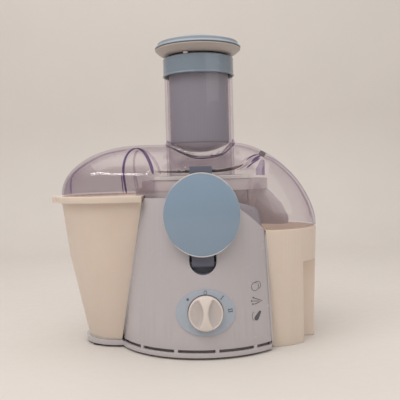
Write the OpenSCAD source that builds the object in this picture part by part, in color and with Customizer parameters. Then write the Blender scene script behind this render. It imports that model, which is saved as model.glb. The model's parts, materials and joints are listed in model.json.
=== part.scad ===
// Centrifugal juicer. A motor base carries a spinning sieve basket in a juice bowl. A clear lid with a
// feed tube and a pusher covers the basket, throws the pulp into a container on the left and shields the
// spout over a jug on the right. A pivoting latch arm holds the lid at the front.
// Millimetres, +Z up, front at -Y. The origin is the centre of the footprint on the table, and the
// modules are drawn around the spin axis, which stands at (axis_x, axis_y).

/* [Motor housing] */
// Radius of the drum at its foot
drum_r = 98; // [97:0.5:99]
// Radius of the drum at its top edge
drum_top_r = 86; // [85.5:0.5:88]
// Height of the drum's foot above the table
drum_z = 10; // [9.5:0.5:10.5]
// Height of the drum's top edge
drum_top_z = 164; // [162:1:165]
// Distance from the axis to the slanted left side at its foot
left_foot = 89.7; // [88:0.1:90]
// Distance from the axis to the slanted left side at its top
left_top = 61.3; // [61:0.1:62]
// Distance from the axis to the right side at its foot
right_foot = 70.6; // [70:0.1:71]
// Distance from the axis to the right side at the spout's notch
right_top = 66; // [65.5:0.1:66.5]
// Height of the right side's top edge
notch_z = 128; // [127:0.5:128.5]
// Where the top edge starts to curve down to the notch
notch_start = 14; // [10:1:16]
// How strongly that edge bulges (1 is straight)
notch_bulge = 1.45; // [1:0.05:1.5]
// Wall thickness of the housing
wall = 3; // [2.6:0.1:3.2]

/* [Base] */
// Radius of the base plate
base_r = 100; // [99:0.5:101]
// Height of the base plate's underside
base_z = 2.5; // [2:0.5:3]
// Thickness of the base plate's floor
base_t = 3; // [2.5:0.5:3]
// Height of the base plate's rim
base_rim_z = 7; // [6.5:0.5:7.5]
// Reach of the ledge under the pulp container
ledge_reach = 137; // [134:1:140]
// Half width of the ledge
ledge_half = 43; // [41:1:45]
// Height of the ledge's top
ledge_z = 8; // [7.5:0.5:9]

/* [Bowl and basket] */
// Radius of the bowl's rim
bowl_r = 76; // [75.5:0.5:76.5]
// Height of the bowl's rim
bowl_top_z = 182; // [181.5:0.5:182]
// Height of the rim band's lower edge
band_z = 170.5; // [170:0.5:171]
// Wall thickness of the bowl
bowl_t = 2.2; // [2:0.1:2.4]
// Radius of the grater disc
disc_r = 40.5; // [39:0.5:41]
// Radius of the sieve at its top
sieve_top_r = 53.3; // [51:0.1:54]
// Height of the sieve's top
sieve_top_z = 178; // [176:1:179]

/* [Lid and pusher] */
// Outer radius of the feed tube
tube_r = 39; // [38:0.5:39.5]
// Inner radius of the feed tube
tube_bore_r = 36; // [35.5:0.1:36.5]
// Height of the feed tube's top
tube_top_z = 317.8; // [310:0.1:325]
// Wall thickness of the lid
lid_t = 2.4; // [2:0.1:2.6]
// Height of the lid's ridge
ridge_z = 222; // [219:1:224]
// Radius of the pusher
pusher_r = 33.8; // [33:0.1:34.5]
// Height of the pusher's lower end
pusher_z = 223; // [210:1:240]
// Radius of the pusher's cap
cap_r = 49; // [46:0.5:52]
// Height of the cap above its ring
cap_h = 14.4; // [13:0.1:18]

/* [Containers] */
// Radius of the pulp container's round end at its mouth
bin_r = 64; // [63:0.5:65]
// Radius of the pulp container's foot
bin_foot_r = 43; // [40:1:46]
// Wall thickness of both containers
shell_t = 2; // [1.8:0.1:2.4]
// Height of the pulp container's mouth
bin_top_z = 167; // [166.5:0.1:167.4]
// Reach of the pulp container's finger lip
lip_reach = 172.4; // [170:0.1:175]
// Radius of the juice jug
jug_r = 61.5; // [61:0.5:63]
// Radius of the juice jug's foot
jug_foot_r = 57; // [56:0.5:60]
// Height of the juice jug
jug_h = 126.5; // [124:0.5:126.5]

/* [Latch and knob] */
// Width of the latch arm
arm_w = 22.7; // [20:0.1:24]
// Height of the latch's pivot
pivot_z = 97; // [96:0.5:98]
// Width of the oval latch cover
cover_w = 77; // [70:1:80]
// Height of the oval latch cover
cover_h = 85; // [80:1:88]
// Height of the knob's centre
knob_z = 47.5; // [46:0.5:50]
// Radius of the knob
knob_r = 17.6; // [17:0.1:19]
// Angle of the knob round the drum, to the right of the middle
knob_side = 0.9; // [0:0.1:3]

/* [Hidden] */

$fn = 96;
hull_fn = 32;
eps = 0.1;
far = 400;
fit = 0.05;
slip = 0.1;

// Frame
jug_x = 69;
knob_reach = 13;
axis_x = (lip_reach - jug_x - jug_r) / 2;
axis_y = (drum_r_at(knob_z) + knob_reach - base_r) / 2;
panel_tilt = atan((drum_r - drum_top_r) / (drum_top_z - drum_z));

// Base plate
ledge_gap = 0.6;
pad_inset = 6;
pad_gap = 2;
bridge_r = 94;
bridge_half = 2;
bridge_start = -82.7;
bridge_step = 25;
bridges = [each [-3 : 2], each [5 : 10]];
vent_half = 2;
vent_pitch = 9;
vent_rows = [-4 : 4];
vent_len = 28;

// Fittings on the floor and at the back
block_x = [-45, -15];
block_y = [50, 64];
block_top_z = 20;
block_poles = 3;
block_hole_r = 2.5;
block_hole_z = 14;
capacitor_x = [15, 40];
capacitor_y = [50, 62];
capacitor_top_z = 24;
inlet_z = 24;
inlet_r = 7;
inlet_lip = 2;
inlet_lip_t = 2.4;
inlet_depth = 7;
inlet_catch_h = 3;
inlet_hole_r = 3.6;

// Motor stack, from the floor up
shaft_r = 4;
shaft_z = 14;
shaft_top_z = 142;
bush_z = 16;
bush_h = 10;
bush_r = 8;
bush_wall = 4;
lower_plate_z = 18;
bracket_t = 4;
bracket_r = 38;
commutator_z = 31;
commutator_h = 10;
commutator_r = 11;
brush_z = 32;
brush_h = 8;
stack_z = 48;
stack_h = 32;
winding_h = 6;
winding_gap = 0.4;
coil_half = 20;
core_r = 18.4;
core_slot_r = 1.4;
core_slots = 12;
commutator_bars = 24;
bar_gap = 0.2;
bar_depth = 0.8;
bore_r = 19;
stator_r = 36;
yoke_t = 6;
pole_half = 10;
bolt_y = 31;
bolt_r = 2;
bolt_head = 1.8;
bolt_head_h = 3;
spacer_r = 4.5;
holder_x = 34;
holder_half = 5;
holder_wall = 1.4;
brush_half = 3;
brush_len = 16;
plate_hole_r = 5;
plate_holes = 4;
lower_hole_at = 20;
upper_hole_at = 24;
fan_z = 90;
fan_h = 8;
fan_r = 26;
fan_hub_r = 9;
fan_disc_t = 1.5;
fan_blade_half = 0.7;
fan_blades = 11;
upper_plate_z = 100;
bearing_r = 11;
bearing_h = 7;
ear_r = 44;
ear_pad_r = 6.5;
damper_h = 7;
damper_count = 4;
pillar_r = 5;
pillar_hole_h = 6;
pillar_z = upper_plate_z + bracket_t + damper_h;

// Top edge of the housing, and the deck under the bowl
edge_steps = 8;
deck_z = 118;
deck_t = 3;
boss_r = 14.5;
seal_r = 12;
boss_h = 10;
seal_h = 5;

// Bowl and basket
skirt_r = 48.5;
skirt_t = 2.5;
bowl_floor_z = 132;
bowl_side_gap = 0.7;
bowl_foot_r = 56;
bowl_shoulder_r = 74;
collar_r = 19.5;
collar_bore_r = 17;
collar_z = 143;
coupling_z = 130;
coupling_h = 11;
coupling_r = 11;
lobe_r = 2.6;
lobe_count = 6;
lobe_slip = 0.2;
hub_r = 15.5;
hub_z = 131;
hub_plate_z = 145;
hub_plate_t = 3;
disc_z = hub_plate_z + hub_plate_t;
disc_t = 1.2;
tooth_h = 1.8;
tooth_half = [1.4, 0.6];
tooth_rows = 4;
tooth_pitch = 9;
tooth_twist = 7;
sieve_z = 146;
sieve_foot_r = 42.5;
sieve_t = 0.8;
basket_rim_r = 58;
basket_rim_h = 5;
basket_rim_lap = 1.5;
pulp_gate_half = 40;
pulp_lip_z = 174;
spout_x = 88.3;
spout_r = 11.7;
spout_z = 129;
slice_h = 1;
hood_top_r = 40;
hood_top_h = 2.8;
hood_slices = [[80, 33, 164], [92, 24, 152], [spout_x + spout_r, 15, 136]];
hood_foot_x = 60;
hood_foot_r = 22;

// Lid
rim_h = 11;
lid_gap = 0.2;
lid_edge_gap = 1;
left_lobe_x = -98;
left_lobe_r = 62;
left_lobe_z = 168.6;
left_lobe_end = -30;
left_top_z = ridge_z + 0.5;
right_lobe_x = jug_x;
right_lobe_r = 61.5;
right_lobe_z = 128.4;
right_top_z = ridge_z + 1;
lobe_power = 1.7;
right_ridge_x = 39;
left_ridge_x = -71;
lobe_cut_x = 50;
lobe_steps = 6;
tube_z = 154;
collar_h = 20.4;
cuff_r = 40.2;
ring_h = 8.7;
ring_foot_r = 41;
ring_gap = 2.5;
collar_top_t = 1.6;
pusher_t = 2;
pusher_drop = 10;
ring_z = tube_top_z + collar_top_t + ring_gap;
cap_dome_h = 8;
cap_wall = 3;
key_turn = 250;
key_half = 3;
key_start = 30;

// Latch
pivot_y = -85;
pin_r = 2;
barrel_r = 5;
cam_offset = 1.5;
cam_gap = 0.3;
slot_r = 13.9;
slot_z = 99.4;
pocket_t = 2.5;
pocket_y = -77.5;
arm_y = -90;
arm_t = 5;
hook_z = 196;
hook_h = 8;
hook_gap = 0.4;
cover_z = 147;
cover_y = -95;
cover_edge = 3;
cover_rise = 5.5;
cover_rib_x = 8;
cover_rib_z = 25;
plunger_r = 2;
plunger_len = 9;
switch_x = 10;
switch_z = 9;
switch_depth = 16;
cam_half = 4;

// Knob
spindle_r = 3;
knob_sink = 2.2;
well_sink = 2.6;
knob_disc = 6;
knob_clear = 0.8;
grip_w = 11;
waist_r = 26;
seat_back = 6;
seat_rim = 4;
spindle_back = 16;
spindle_len = 18;
switch_half = 13;
dial_w = 61;
dial_h = 47;
dial_t = 1.2;

// Screws and feet
post_at = [for (a = [55, 125, 235, 305]) [90 * cos(a), 90 * sin(a)]];
post_r = 5;
post_top_z = 30;
screw_r = 1.5;
screw_head_r = 3;
screw_head_h = 1.8;
screw_len = 16;
screw_sink = 0.2;
screw_slot = [0.4, 1];
foot_r = 8;
foot_lip = 1;
foot_at = [[58, 55], [58, -55], [-58, 55], [-58, -55], [-118, 24], [-118, -24]];

// Containers
bin_x = -97;
bin_foot_x = -91;
bin_waist_x = -95;
bin_waist_r = 57.8;
bin_waist_z = 100;
bin_z = 10;
flange_h = 7;
flange_w = 5;
lip_r = 28;
bin_clear = 1.2;
bin_length = 27;
jug_clear = 1.3;
grip_x = 109;
grip_half = 11;
grip_top_z = 90;

// Radius of the drum's outside at a height.
function drum_r_at(z) = drum_r + (drum_top_r - drum_r) * (z - drum_z) / (drum_top_z - drum_z);

// Height of the housing's top edge at an X between the start of its curve and the notch.
function top_edge_z(x) =
    notch_z + (drum_top_z - notch_z) * (1 - pow((x - notch_start) / (right_top - notch_start), notch_bulge));

// Points (x, z) along that edge, raised, from a start to the notch.
function top_edge(start, raise = 0) =
    [for (i = [0 : edge_steps]) let (x = start + (right_top - start) * i / edge_steps)
        [x, top_edge_z(x) + raise]];

// X of the slanted left side and of the right side at a height.
function left_x_at(z) = -left_foot + (left_foot - left_top) * (z - drum_z) / (drum_top_z - drum_z);
function right_x_at(z) = right_foot - (right_foot - right_top) * (z - drum_z) / (notch_z - drum_z);

// Outline of the right lobe: how far it reaches in X at a height.
function right_reach(z) =
    let (full = right_lobe_x + right_lobe_r - right_ridge_x)
    let (t = (z - right_lobe_z) / (right_top_z - right_lobe_z))
    right_ridge_x + full * pow(1 - pow(t, lobe_power), 1 / lobe_power);

// Moves what is drawn around the spin axis into the part's frame.
module at_axis() {
    translate([axis_x, axis_y, 0]) children();
}

// Lays a drawing made on the XY plane, outwards along +Z, on the drum's front at a height.
module on_panel(z, turn = 0) {
    rotate([0, 0, turn]) translate([0, -drum_r_at(z), z]) rotate([90 - panel_tilt, 0, 0]) children();
}

// Extrudes an XZ outline along Y, centred.
module along_y(depth) {
    rotate([90, 0, 0]) linear_extrude(depth, center = true) children();
}

module ring(r_out, r_in, h) {
    difference() {
        cylinder(r = r_out, h = h);
        translate([0, 0, -eps]) cylinder(r = r_in, h = h + 2 * eps);
    }
}

module around(count, r, start = 0) {
    for (i = [0 : count - 1]) rotate([0, 0, start + i * 360 / count]) translate([r, 0, 0]) children();
}

module box_at(x, y, z) {
    translate([x[0], y[0], z[0]]) cube([x[1] - x[0], y[1] - y[0], z[1] - z[0]]);
}

// ---- Base ----

module base_outline(grow = 0) {
    intersection() {
        circle(base_r + grow);
        translate([-far, -far]) square([far + right_foot + grow, 2 * far]);
    }
    ledge_outline(grow);
}

module ledge_outline(grow = 0) {
    translate([ledge_half - ledge_reach, 0]) circle(ledge_half + grow);
    translate([ledge_half - ledge_reach, -ledge_half - grow])
        square([ledge_reach - ledge_half, 2 * (ledge_half + grow)]);
}

module base_plate() {
    side_x = left_x_at(drum_z);
    floor_h = base_z + base_t;
    color("whitesmoke") at_axis() difference() {
        union() {
            translate([0, 0, base_z]) linear_extrude(base_t) base_outline();
            difference() {
                translate([0, 0, base_z]) linear_extrude(base_rim_z - base_z) base_outline();
                translate([0, 0, base_z]) linear_extrude(far) base_outline(-wall);
            }
            intersection() {
                difference() {
                    translate([0, 0, base_z]) linear_extrude(ledge_z - base_z) ledge_outline();
                    translate([0, 0, base_z]) linear_extrude(ledge_z - base_z - wall) ledge_outline(-wall);
                }
                box_at([-far, side_x - ledge_gap], [-far, far], [0, far]);
            }
            intersection() {
                translate([0, 0, ledge_z - wall]) linear_extrude(bin_z - slip - ledge_z + wall)
                    ledge_outline(-pad_inset);
                box_at([-far, side_x - pad_gap], [-far, far], [0, far]);
            }
            intersection() {
                for (k = bridges) rotate([0, 0, bridge_start + k * bridge_step])
                    box_at([bridge_r, drum_r], [-bridge_half, bridge_half], [base_z, drum_z]);
                box_at([side_x + 1, right_foot - 1], [-far, far], [0, far]);
            }
        }
        for (p = foot_at) translate([p[0], p[1], 0]) {
            cylinder(r = foot_r + slip, h = base_z + foot_lip);
            cylinder(r = foot_r / 2 + slip, h = floor_h + eps);
        }
        for (p = post_at) translate([p[0], p[1], 0]) {
            cylinder(r = screw_head_r + slip, h = base_z + screw_head_h + screw_sink);
            cylinder(r = screw_r + slip, h = floor_h + eps);
        }
        for (i = vent_rows) translate([i * vent_pitch, 0, 0])
            box_at([-vent_half, vent_half], [-vent_len, vent_len], [0, floor_h + eps]);
    }
}

module feet() {
    color("dimgray") at_axis() for (p = foot_at) translate([p[0], p[1], 0]) {
        cylinder(r = foot_r, h = base_z + foot_lip);
        cylinder(r = foot_r / 2, h = base_z + base_t);
    }
}

module base_screws() {
    color("silver") at_axis() for (p = post_at) translate([p[0], p[1], base_z + screw_sink]) {
        difference() {
            cylinder(r = screw_head_r, h = screw_head_h);
            box_at([-far, far], [-screw_slot[0], screw_slot[0]], [-eps, screw_slot[1]]);
        }
        cylinder(r = screw_r, h = screw_len);
    }
}

// ---- Housing ----

// The drum cut by its two sides. inset moves every wall inwards.
module drum_body(inset = 0, low = drum_z, high = drum_top_z) {
    intersection() {
        translate([0, 0, low])
            cylinder(r1 = drum_r_at(low) - inset, r2 = drum_r_at(high) - inset, h = high - low);
        along_y(far) polygon([
            [left_x_at(low) + inset, low], [right_x_at(low) - inset, low],
            [right_x_at(high) - inset, high], [left_x_at(high) + inset, high]
        ]);
    }
}

// What the curved top edge takes away on the right.
module top_notch() {
    along_y(far) polygon([each top_edge(notch_start), [far, notch_z], [far, far], [notch_start, far]]);
}

module slot_outline(grow = 0) {
    translate([0, slot_z]) circle(slot_r + grow);
    translate([-slot_r - grow, slot_z]) square([2 * (slot_r + grow), far]);
}

module motor_housing() {
    color("whitesmoke") at_axis() difference() {
        union() {
            difference() {
                drum_body();
                drum_body(wall, drum_z - 1, drum_top_z + 1);
            }
            drum_body(wall / 2, deck_z, deck_z + deck_t);
            translate([0, 0, deck_z]) cylinder(r = boss_r, h = boss_h);
            intersection() {
                drum_body(wall / 2);
                translate([0, pocket_y + pocket_t - far / 2, 0]) along_y(far) slot_outline(pocket_t);
            }
            intersection() {
                drum_body(wall / 2);
                on_panel(knob_z, knob_side) translate([0, 0, -seat_back]) cylinder(r = knob_r + seat_rim, h = far);
            }
            intersection() {
                drum_body(wall / 2);
                for (p = post_at) translate([p[0], p[1], base_z + base_t]) {
                    cylinder(r = post_r, h = post_top_z - base_z - base_t);
                }
            }
            at_ears() translate([0, 0, pillar_z]) cylinder(r = pillar_r, h = deck_z - pillar_z + 1);
        }
        top_notch();
        translate([0, 0, deck_z - 1]) cylinder(r = seal_r, h = boss_h + 2);
        translate([0, pocket_y - far / 2, 0]) along_y(far) slot_outline();
        translate([0, pivot_y, pivot_z]) rotate([0, 90, 0])
            cylinder(r = pin_r + slip, h = 2 * (slot_r + pocket_t) + 2, center = true);
        translate([0, 0, pivot_z]) rotate([-90, 0, 0]) translate([0, 0, pocket_y - 1])
            cylinder(r = plunger_r + slip, h = pocket_t + 2);
        on_panel(knob_z, knob_side) {
            translate([0, 0, -well_sink]) cylinder(r = knob_r + knob_clear, h = far);
            translate([0, 0, -seat_back - 2]) cylinder(r = spindle_r + slip, h = far);
        }
        for (p = post_at) translate([p[0], p[1], 0]) cylinder(r = screw_r + fit, h = post_top_z - wall);
        at_ears() translate([0, 0, pillar_z - 1]) cylinder(r = screw_r + fit, h = pillar_hole_h + 1);
        on_panel(inlet_z, 180) translate([0, 0, -far / 10]) cylinder(r = inlet_r + fit, h = far / 5);
    }
}

module cord_inlet() {
    color("dimgray") at_axis() on_panel(inlet_z, 180) difference() {
        union() {
            cylinder(r = inlet_r + inlet_lip, h = inlet_lip_t);
            translate([0, 0, -inlet_depth]) cylinder(r = inlet_r, h = inlet_depth + 0.5);
            translate([0, 0, -inlet_depth]) cylinder(r = inlet_r + inlet_lip, h = inlet_catch_h);
        }
        cylinder(r = inlet_hole_r, h = far, center = true);
    }
}

module terminal_block() {
    pitch = (block_x[1] - block_x[0]) / block_poles;
    color("ivory") at_axis() difference() {
        box_at(block_x, block_y, [base_z + base_t, block_top_z]);
        for (i = [0.5 : block_poles])
            translate([block_x[0] + i * pitch, (block_y[0] + block_y[1]) / 2, block_hole_z])
                cylinder(r = block_hole_r, h = far);
    }
}

module suppression_capacitor() {
    color("gold") at_axis() box_at(capacitor_x, capacitor_y, [base_z + base_t, capacitor_top_z]);
}

// ---- Motor ----

module motor_shaft() {
    color("silver") at_axis() translate([0, 0, shaft_z]) cylinder(r = shaft_r, h = shaft_top_z - shaft_z);
}

module lower_bearing() {
    color("peru") at_axis() translate([0, 0, bush_z]) ring(bush_r, shaft_r + fit, bush_h);
}

module upper_bearing() {
    color("silver") at_axis() translate([0, 0, upper_plate_z + 1]) ring(bearing_r, shaft_r + fit, bearing_h);
}

// The four ears that carry the motor, and the two bolts that clamp it.
module at_ears() {
    around(damper_count, ear_r, 45) children();
}

module at_bolts() {
    for (s = [-1, 1]) translate([0, s * bolt_y, 0]) children();
}

module both_sides() {
    for (s = [0, 1]) mirror([s, 0, 0]) children();
}

module lower_bracket() {
    color("gray") at_axis() difference() {
        union() {
            translate([0, 0, lower_plate_z]) cylinder(r = bracket_r, h = bracket_t);
            translate([0, 0, bush_z]) cylinder(r = bush_r + bush_wall, h = bush_h);
            at_bolts() translate([0, 0, lower_plate_z]) cylinder(r = spacer_r, h = stack_z - lower_plate_z);
            both_sides()
                box_at([holder_x - 10, holder_x], [-holder_half, holder_half], [lower_plate_z, brush_z]);
        }
        translate([0, 0, bush_z - 1]) cylinder(r = bush_r, h = bush_h + 2);
        at_bolts() cylinder(r = bolt_r + slip, h = far);
        around(plate_holes, lower_hole_at, 45) cylinder(r = plate_hole_r, h = far);
    }
}

module upper_bracket() {
    color("gray") at_axis() difference() {
        union() {
            translate([0, 0, upper_plate_z]) cylinder(r = bracket_r, h = bracket_t);
            translate([0, 0, upper_plate_z]) cylinder(r = bearing_r + 3, h = bearing_h + 2);
            for (a = [45, 135]) rotate([0, 0, a])
                box_at([-ear_r, ear_r], [-ear_pad_r, ear_pad_r], [upper_plate_z, upper_plate_z + bracket_t]);
            at_ears() translate([0, 0, upper_plate_z]) cylinder(r = ear_pad_r, h = bracket_t);
            at_bolts() translate([0, 0, stack_z + stack_h])
                cylinder(r = bolt_r + 2, h = upper_plate_z - stack_z - stack_h + 1);
        }
        translate([0, 0, upper_plate_z + 1]) cylinder(r = bearing_r, h = far);
        cylinder(r = shaft_r + 3, h = far);
        at_bolts() cylinder(r = bolt_r + slip, h = far);
        at_ears() cylinder(r = screw_r + 0.5, h = far);
        around(plate_holes, upper_hole_at) translate([0, 0, upper_plate_z - 1]) cylinder(r = plate_hole_r, h = bracket_t + 2);
    }
}

module motor_stator() {
    color("slategray") at_axis() translate([0, 0, stack_z]) difference() {
        union() {
            ring(stator_r, stator_r - yoke_t, stack_h);
            box_at([-stator_r + 1, stator_r - 1], [-pole_half, pole_half], [0, stack_h]);
            at_bolts() cylinder(r = spacer_r, h = stack_h);
        }
        translate([0, 0, -eps]) cylinder(r = bore_r, h = stack_h + 2 * eps);
        at_bolts() translate([0, 0, -eps]) cylinder(r = bolt_r + slip, h = stack_h + 2 * eps);
    }
}

module field_coils() {
    gap = winding_gap;
    color("chocolate") at_axis() both_sides() intersection() {
        difference() {
            box_at([bore_r, stator_r - yoke_t], [-coil_half, coil_half],
                [stack_z - winding_h, stack_z + stack_h + winding_h]);
            box_at([0, far], [-pole_half - gap, pole_half + gap], [stack_z - gap, stack_z + stack_h + gap]);
        }
        translate([0, 0, stack_z - winding_h])
            ring(stator_r - yoke_t - gap, bore_r + 1.5, stack_h + 2 * winding_h);
    }
}

module armature() {
    color("darkgray") at_axis() translate([0, 0, stack_z]) difference() {
        ring(core_r, shaft_r, stack_h);
        around(core_slots, core_r - core_slot_r - 0.1) translate([0, 0, -eps])
            cylinder(r = core_slot_r, h = stack_h + 2 * eps);
    }
}

module armature_windings() {
    color("chocolate") at_axis() for (z = [stack_z - winding_h, stack_z + stack_h])
        translate([0, 0, z]) ring(core_r - 2, shaft_r + 2, winding_h);
}

module commutator() {
    color("peru") at_axis() translate([0, 0, commutator_z]) difference() {
        ring(commutator_r, shaft_r, commutator_h);
        around(commutator_bars, commutator_r) translate([0, 0, -eps])
            box_at([-bar_depth, 1], [-bar_gap, bar_gap], [0, commutator_h + 2 * eps]);
    }
}

module brush_holders() {
    top = brush_z + brush_h;
    inside = brush_half + slip;
    color("goldenrod") at_axis() both_sides() difference() {
        box_at([commutator_r + 1.5, holder_x], [-holder_half, holder_half], [brush_z, top]);
        box_at([0, holder_x - 1], [-inside, inside], [brush_z + holder_wall, top - holder_wall]);
    }
}

module carbon_brushes() {
    low = brush_z + holder_wall + slip;
    high = brush_z + brush_h - holder_wall - slip;
    color("black") at_axis() both_sides()
        box_at([commutator_r + slip, commutator_r + brush_len], [-brush_half, brush_half], [low, high]);
}

module motor_bolts() {
    color("silver") at_axis() at_bolts() translate([0, 0, lower_plate_z - bolt_head_h]) {
        cylinder(r = bolt_r + bolt_head, h = bolt_head_h);
        cylinder(r = bolt_r, h = upper_plate_z + bracket_t - lower_plate_z + 2 * bolt_head_h);
    }
}

module motor_dampers() {
    color("black") at_axis() at_ears() translate([0, 0, upper_plate_z + bracket_t])
        ring(ear_pad_r, screw_r + 0.5, damper_h);
}

module damper_screws() {
    color("silver") at_axis() at_ears() translate([0, 0, upper_plate_z - bolt_head_h]) {
        cylinder(r = screw_r + 2, h = bolt_head_h);
        cylinder(r = screw_r, h = pillar_z - upper_plate_z + bolt_head_h + pillar_hole_h - 1);
    }
}

module cooling_fan() {
    color("black") at_axis() translate([0, 0, fan_z]) difference() {
        union() {
            cylinder(r = fan_hub_r, h = fan_h);
            translate([0, 0, fan_h - fan_disc_t]) cylinder(r = fan_r, h = fan_disc_t);
            around(fan_blades, 0)
                box_at([fan_hub_r - 1, fan_r], [-fan_blade_half, fan_blade_half], [0, fan_h - 1]);
        }
        translate([0, 0, -eps]) cylinder(r = shaft_r, h = fan_h + 2 * eps);
    }
}

module shaft_seal() {
    color("black") at_axis() translate([0, 0, deck_z + deck_t]) ring(seal_r, shaft_r + fit, seal_h);
}

// ---- Basket ----

module coupling_outline(grow = 0) {
    circle(coupling_r + grow);
    for (i = [0 : lobe_count - 1]) rotate(i * 360 / lobe_count) translate([coupling_r, 0])
        circle(lobe_r + grow);
}

module drive_coupling() {
    color("black") at_axis() translate([0, 0, coupling_z]) difference() {
        linear_extrude(coupling_h) coupling_outline();
        translate([0, 0, -eps]) cylinder(r = shaft_r, h = coupling_h + 2 * eps);
    }
}

module basket_hub() {
    color("whitesmoke") at_axis() difference() {
        union() {
            translate([0, 0, hub_z]) cylinder(r = hub_r, h = hub_plate_z + 1 - hub_z);
            translate([0, 0, hub_plate_z]) cylinder(r = sieve_foot_r - 1, h = hub_plate_t);
        }
        translate([0, 0, hub_z - 1]) linear_extrude(coupling_z + coupling_h + 1.3 - hub_z)
            coupling_outline(lobe_slip);
        translate([0, 0, hub_z]) cylinder(r = shaft_r + lobe_slip, h = shaft_top_z + 1 - hub_z);
    }
}

module grater_disc() {
    color("lightgray") at_axis() translate([0, 0, disc_z]) {
        cylinder(r = disc_r, h = disc_t);
        for (row = [1 : tooth_rows]) around(6 * row, tooth_pitch * row, tooth_twist * row)
            translate([0, 0, disc_t / 2]) box_at([-tooth_half[0], tooth_half[0]],
                [-tooth_half[1], tooth_half[1]], [0, disc_t / 2 + tooth_h]);
    }
}

module filter_sieve() {
    h = sieve_top_z - sieve_z;
    color("lightgray") at_axis() translate([0, 0, sieve_z]) difference() {
        cylinder(r1 = sieve_foot_r, r2 = sieve_top_r, h = h);
        translate([0, 0, -eps])
            cylinder(r1 = sieve_foot_r - sieve_t, r2 = sieve_top_r - sieve_t, h = h + 2 * eps);
    }
}

module basket_rim() {
    color("whitesmoke") at_axis() translate([0, 0, sieve_top_z + basket_rim_lap - basket_rim_h])
        ring(basket_rim_r, sieve_top_r + 0.1, basket_rim_h);
}

// ---- Bowl ----

// Keeps what lies right of the bowl's slanted left wall.
module right_of_left_wall(inset) {
    gap = wall + bowl_side_gap + inset;
    along_y(far) polygon([
        [left_x_at(0) + gap, 0], [far, 0], [far, far], [left_x_at(far) + gap, far]
    ]);
}

module bowl_cone(inset) {
    low = bowl_floor_z + inset;
    intersection() {
        translate([0, 0, low])
            cylinder(r1 = bowl_foot_r - inset, r2 = bowl_shoulder_r - inset, h = band_z + slip - low);
        right_of_left_wall(inset);
    }
}

// One slice of the spout's hood: a disc that ends at X = reach.
module hood_slice(reach, r, z, h, inset) {
    translate([reach - r, 0, z]) cylinder(r = r - inset, h = h, $fn = hull_fn);
}

module spout_hood(inset) {
    hull() {
        hood_slice(bowl_r, hood_top_r, band_z - hood_top_h - 2 * slip, hood_top_h - inset, inset);
        for (s = hood_slices) hood_slice(s[0], s[1], s[2], slice_h, inset);
        hood_slice(spout_x + spout_r, spout_r, spout_z - inset, slice_h, inset);
        hood_slice(hood_foot_x, hood_foot_r, bowl_floor_z + inset, slice_h, inset);
    }
}

module juice_bowl() {
    color("thistle") at_axis() difference() {
        union() {
            translate([0, 0, band_z]) cylinder(r = bowl_r, h = bowl_top_z - band_z);
            bowl_cone(0);
            spout_hood(0);
            translate([0, 0, deck_z + deck_t])
                ring(skirt_r, skirt_r - skirt_t, bowl_floor_z - deck_z - deck_t + 1);
        }
        difference() {
            union() {
                bowl_cone(bowl_t);
                spout_hood(bowl_t);
                translate([0, 0, band_z + bowl_t]) cylinder(r = bowl_r - bowl_t, h = far);
                translate([0, 0, band_z - 1]) cylinder(r = bowl_shoulder_r - bowl_t - 1, h = bowl_t + 2);
            }
            cylinder(r = collar_r, h = collar_z);
            intersection() {
                translate([0, 0, band_z - 2]) cylinder(r = bowl_r, h = bowl_t + 2);
                difference() {
                    box_at([-far, far], [-far, far], [0, far]);
                    right_of_left_wall(bowl_t);
                }
            }
        }
        translate([0, 0, deck_z]) cylinder(r = collar_bore_r, h = far);
        intersection() {
            box_at([-far, left_x_at(band_z) + wall], [-pulp_gate_half, pulp_gate_half], [band_z - 1, far]);
            union() {
                cylinder(r = bowl_r - bowl_t, h = far);
                translate([0, 0, pulp_lip_z]) cylinder(r = far, h = far);
            }
        }
    }
}

// ---- Lid ----

// Half an oval loaf lying along X over the pulp container. Its end slopes back towards the ridge.
module left_lobe(inset) {
    hull() for (i = [0 : lobe_steps]) let (a = i * 90 / lobe_steps, r = (left_lobe_r - inset) * cos(a))
        for (x = [left_ridge_x + (left_lobe_x - left_ridge_x) * cos(a), left_lobe_end])
            translate([x, 0, left_lobe_z + (left_top_z - inset - left_lobe_z) * sin(a)])
                cylinder(r = max(r, 1), h = eps, $fn = hull_fn);
}

// The hood over the spout and the jug.
module right_lobe(inset) {
    hull() for (i = [0 : lobe_steps]) let (
        t = sin(i * 90 / lobe_steps),
        z = right_lobe_z + (right_top_z - right_lobe_z) * t,
        r = max(right_lobe_r * sqrt(1 - t * t), 1 + inset)
    ) translate([right_reach(z) - r, 0, z - (t > 0.9 ? inset : 0)])
        cylinder(r = r - inset, h = eps, $fn = hull_fn);
}

// The round middle with its sloping roof.
module middle_dome(inset) {
    hull() {
        translate([0, 0, bowl_top_z]) cylinder(r = bowl_r - inset, h = rim_h - inset / 2);
        translate([left_ridge_x, 0, left_top_z - 1 - inset]) sphere(r = 1, $fn = 12);
        translate([right_ridge_x, 0, ridge_z - inset]) sphere(r = 1, $fn = 12);
    }
}

module lid_solid(inset) {
    left_lobe(inset);
    right_lobe(inset);
    middle_dome(inset);
}

// Everything below the lid's stepped lower edge, with the space that the bowl's rim passes through.
module below_lid() {
    edge = bowl_top_z + lid_gap;
    cylinder(r = bowl_r + 2 * lid_gap, h = edge);
    along_y(far) polygon([
        [-far, left_lobe_z], [-lobe_cut_x, left_lobe_z], [-lobe_cut_x, edge], [lobe_cut_x, edge],
        each top_edge(lobe_cut_x, lid_edge_gap),
        [right_top + 1, right_lobe_z], [far, right_lobe_z], [far, -1], [-far, -1]
    ]);
}

module lid() {
    color("lavender", 0.4) at_axis() difference() {
        lid_solid(0);
        lid_solid(lid_t);
        below_lid();
        translate([0, 0, tube_z]) cylinder(r = tube_r, h = far);
    }
}

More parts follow.
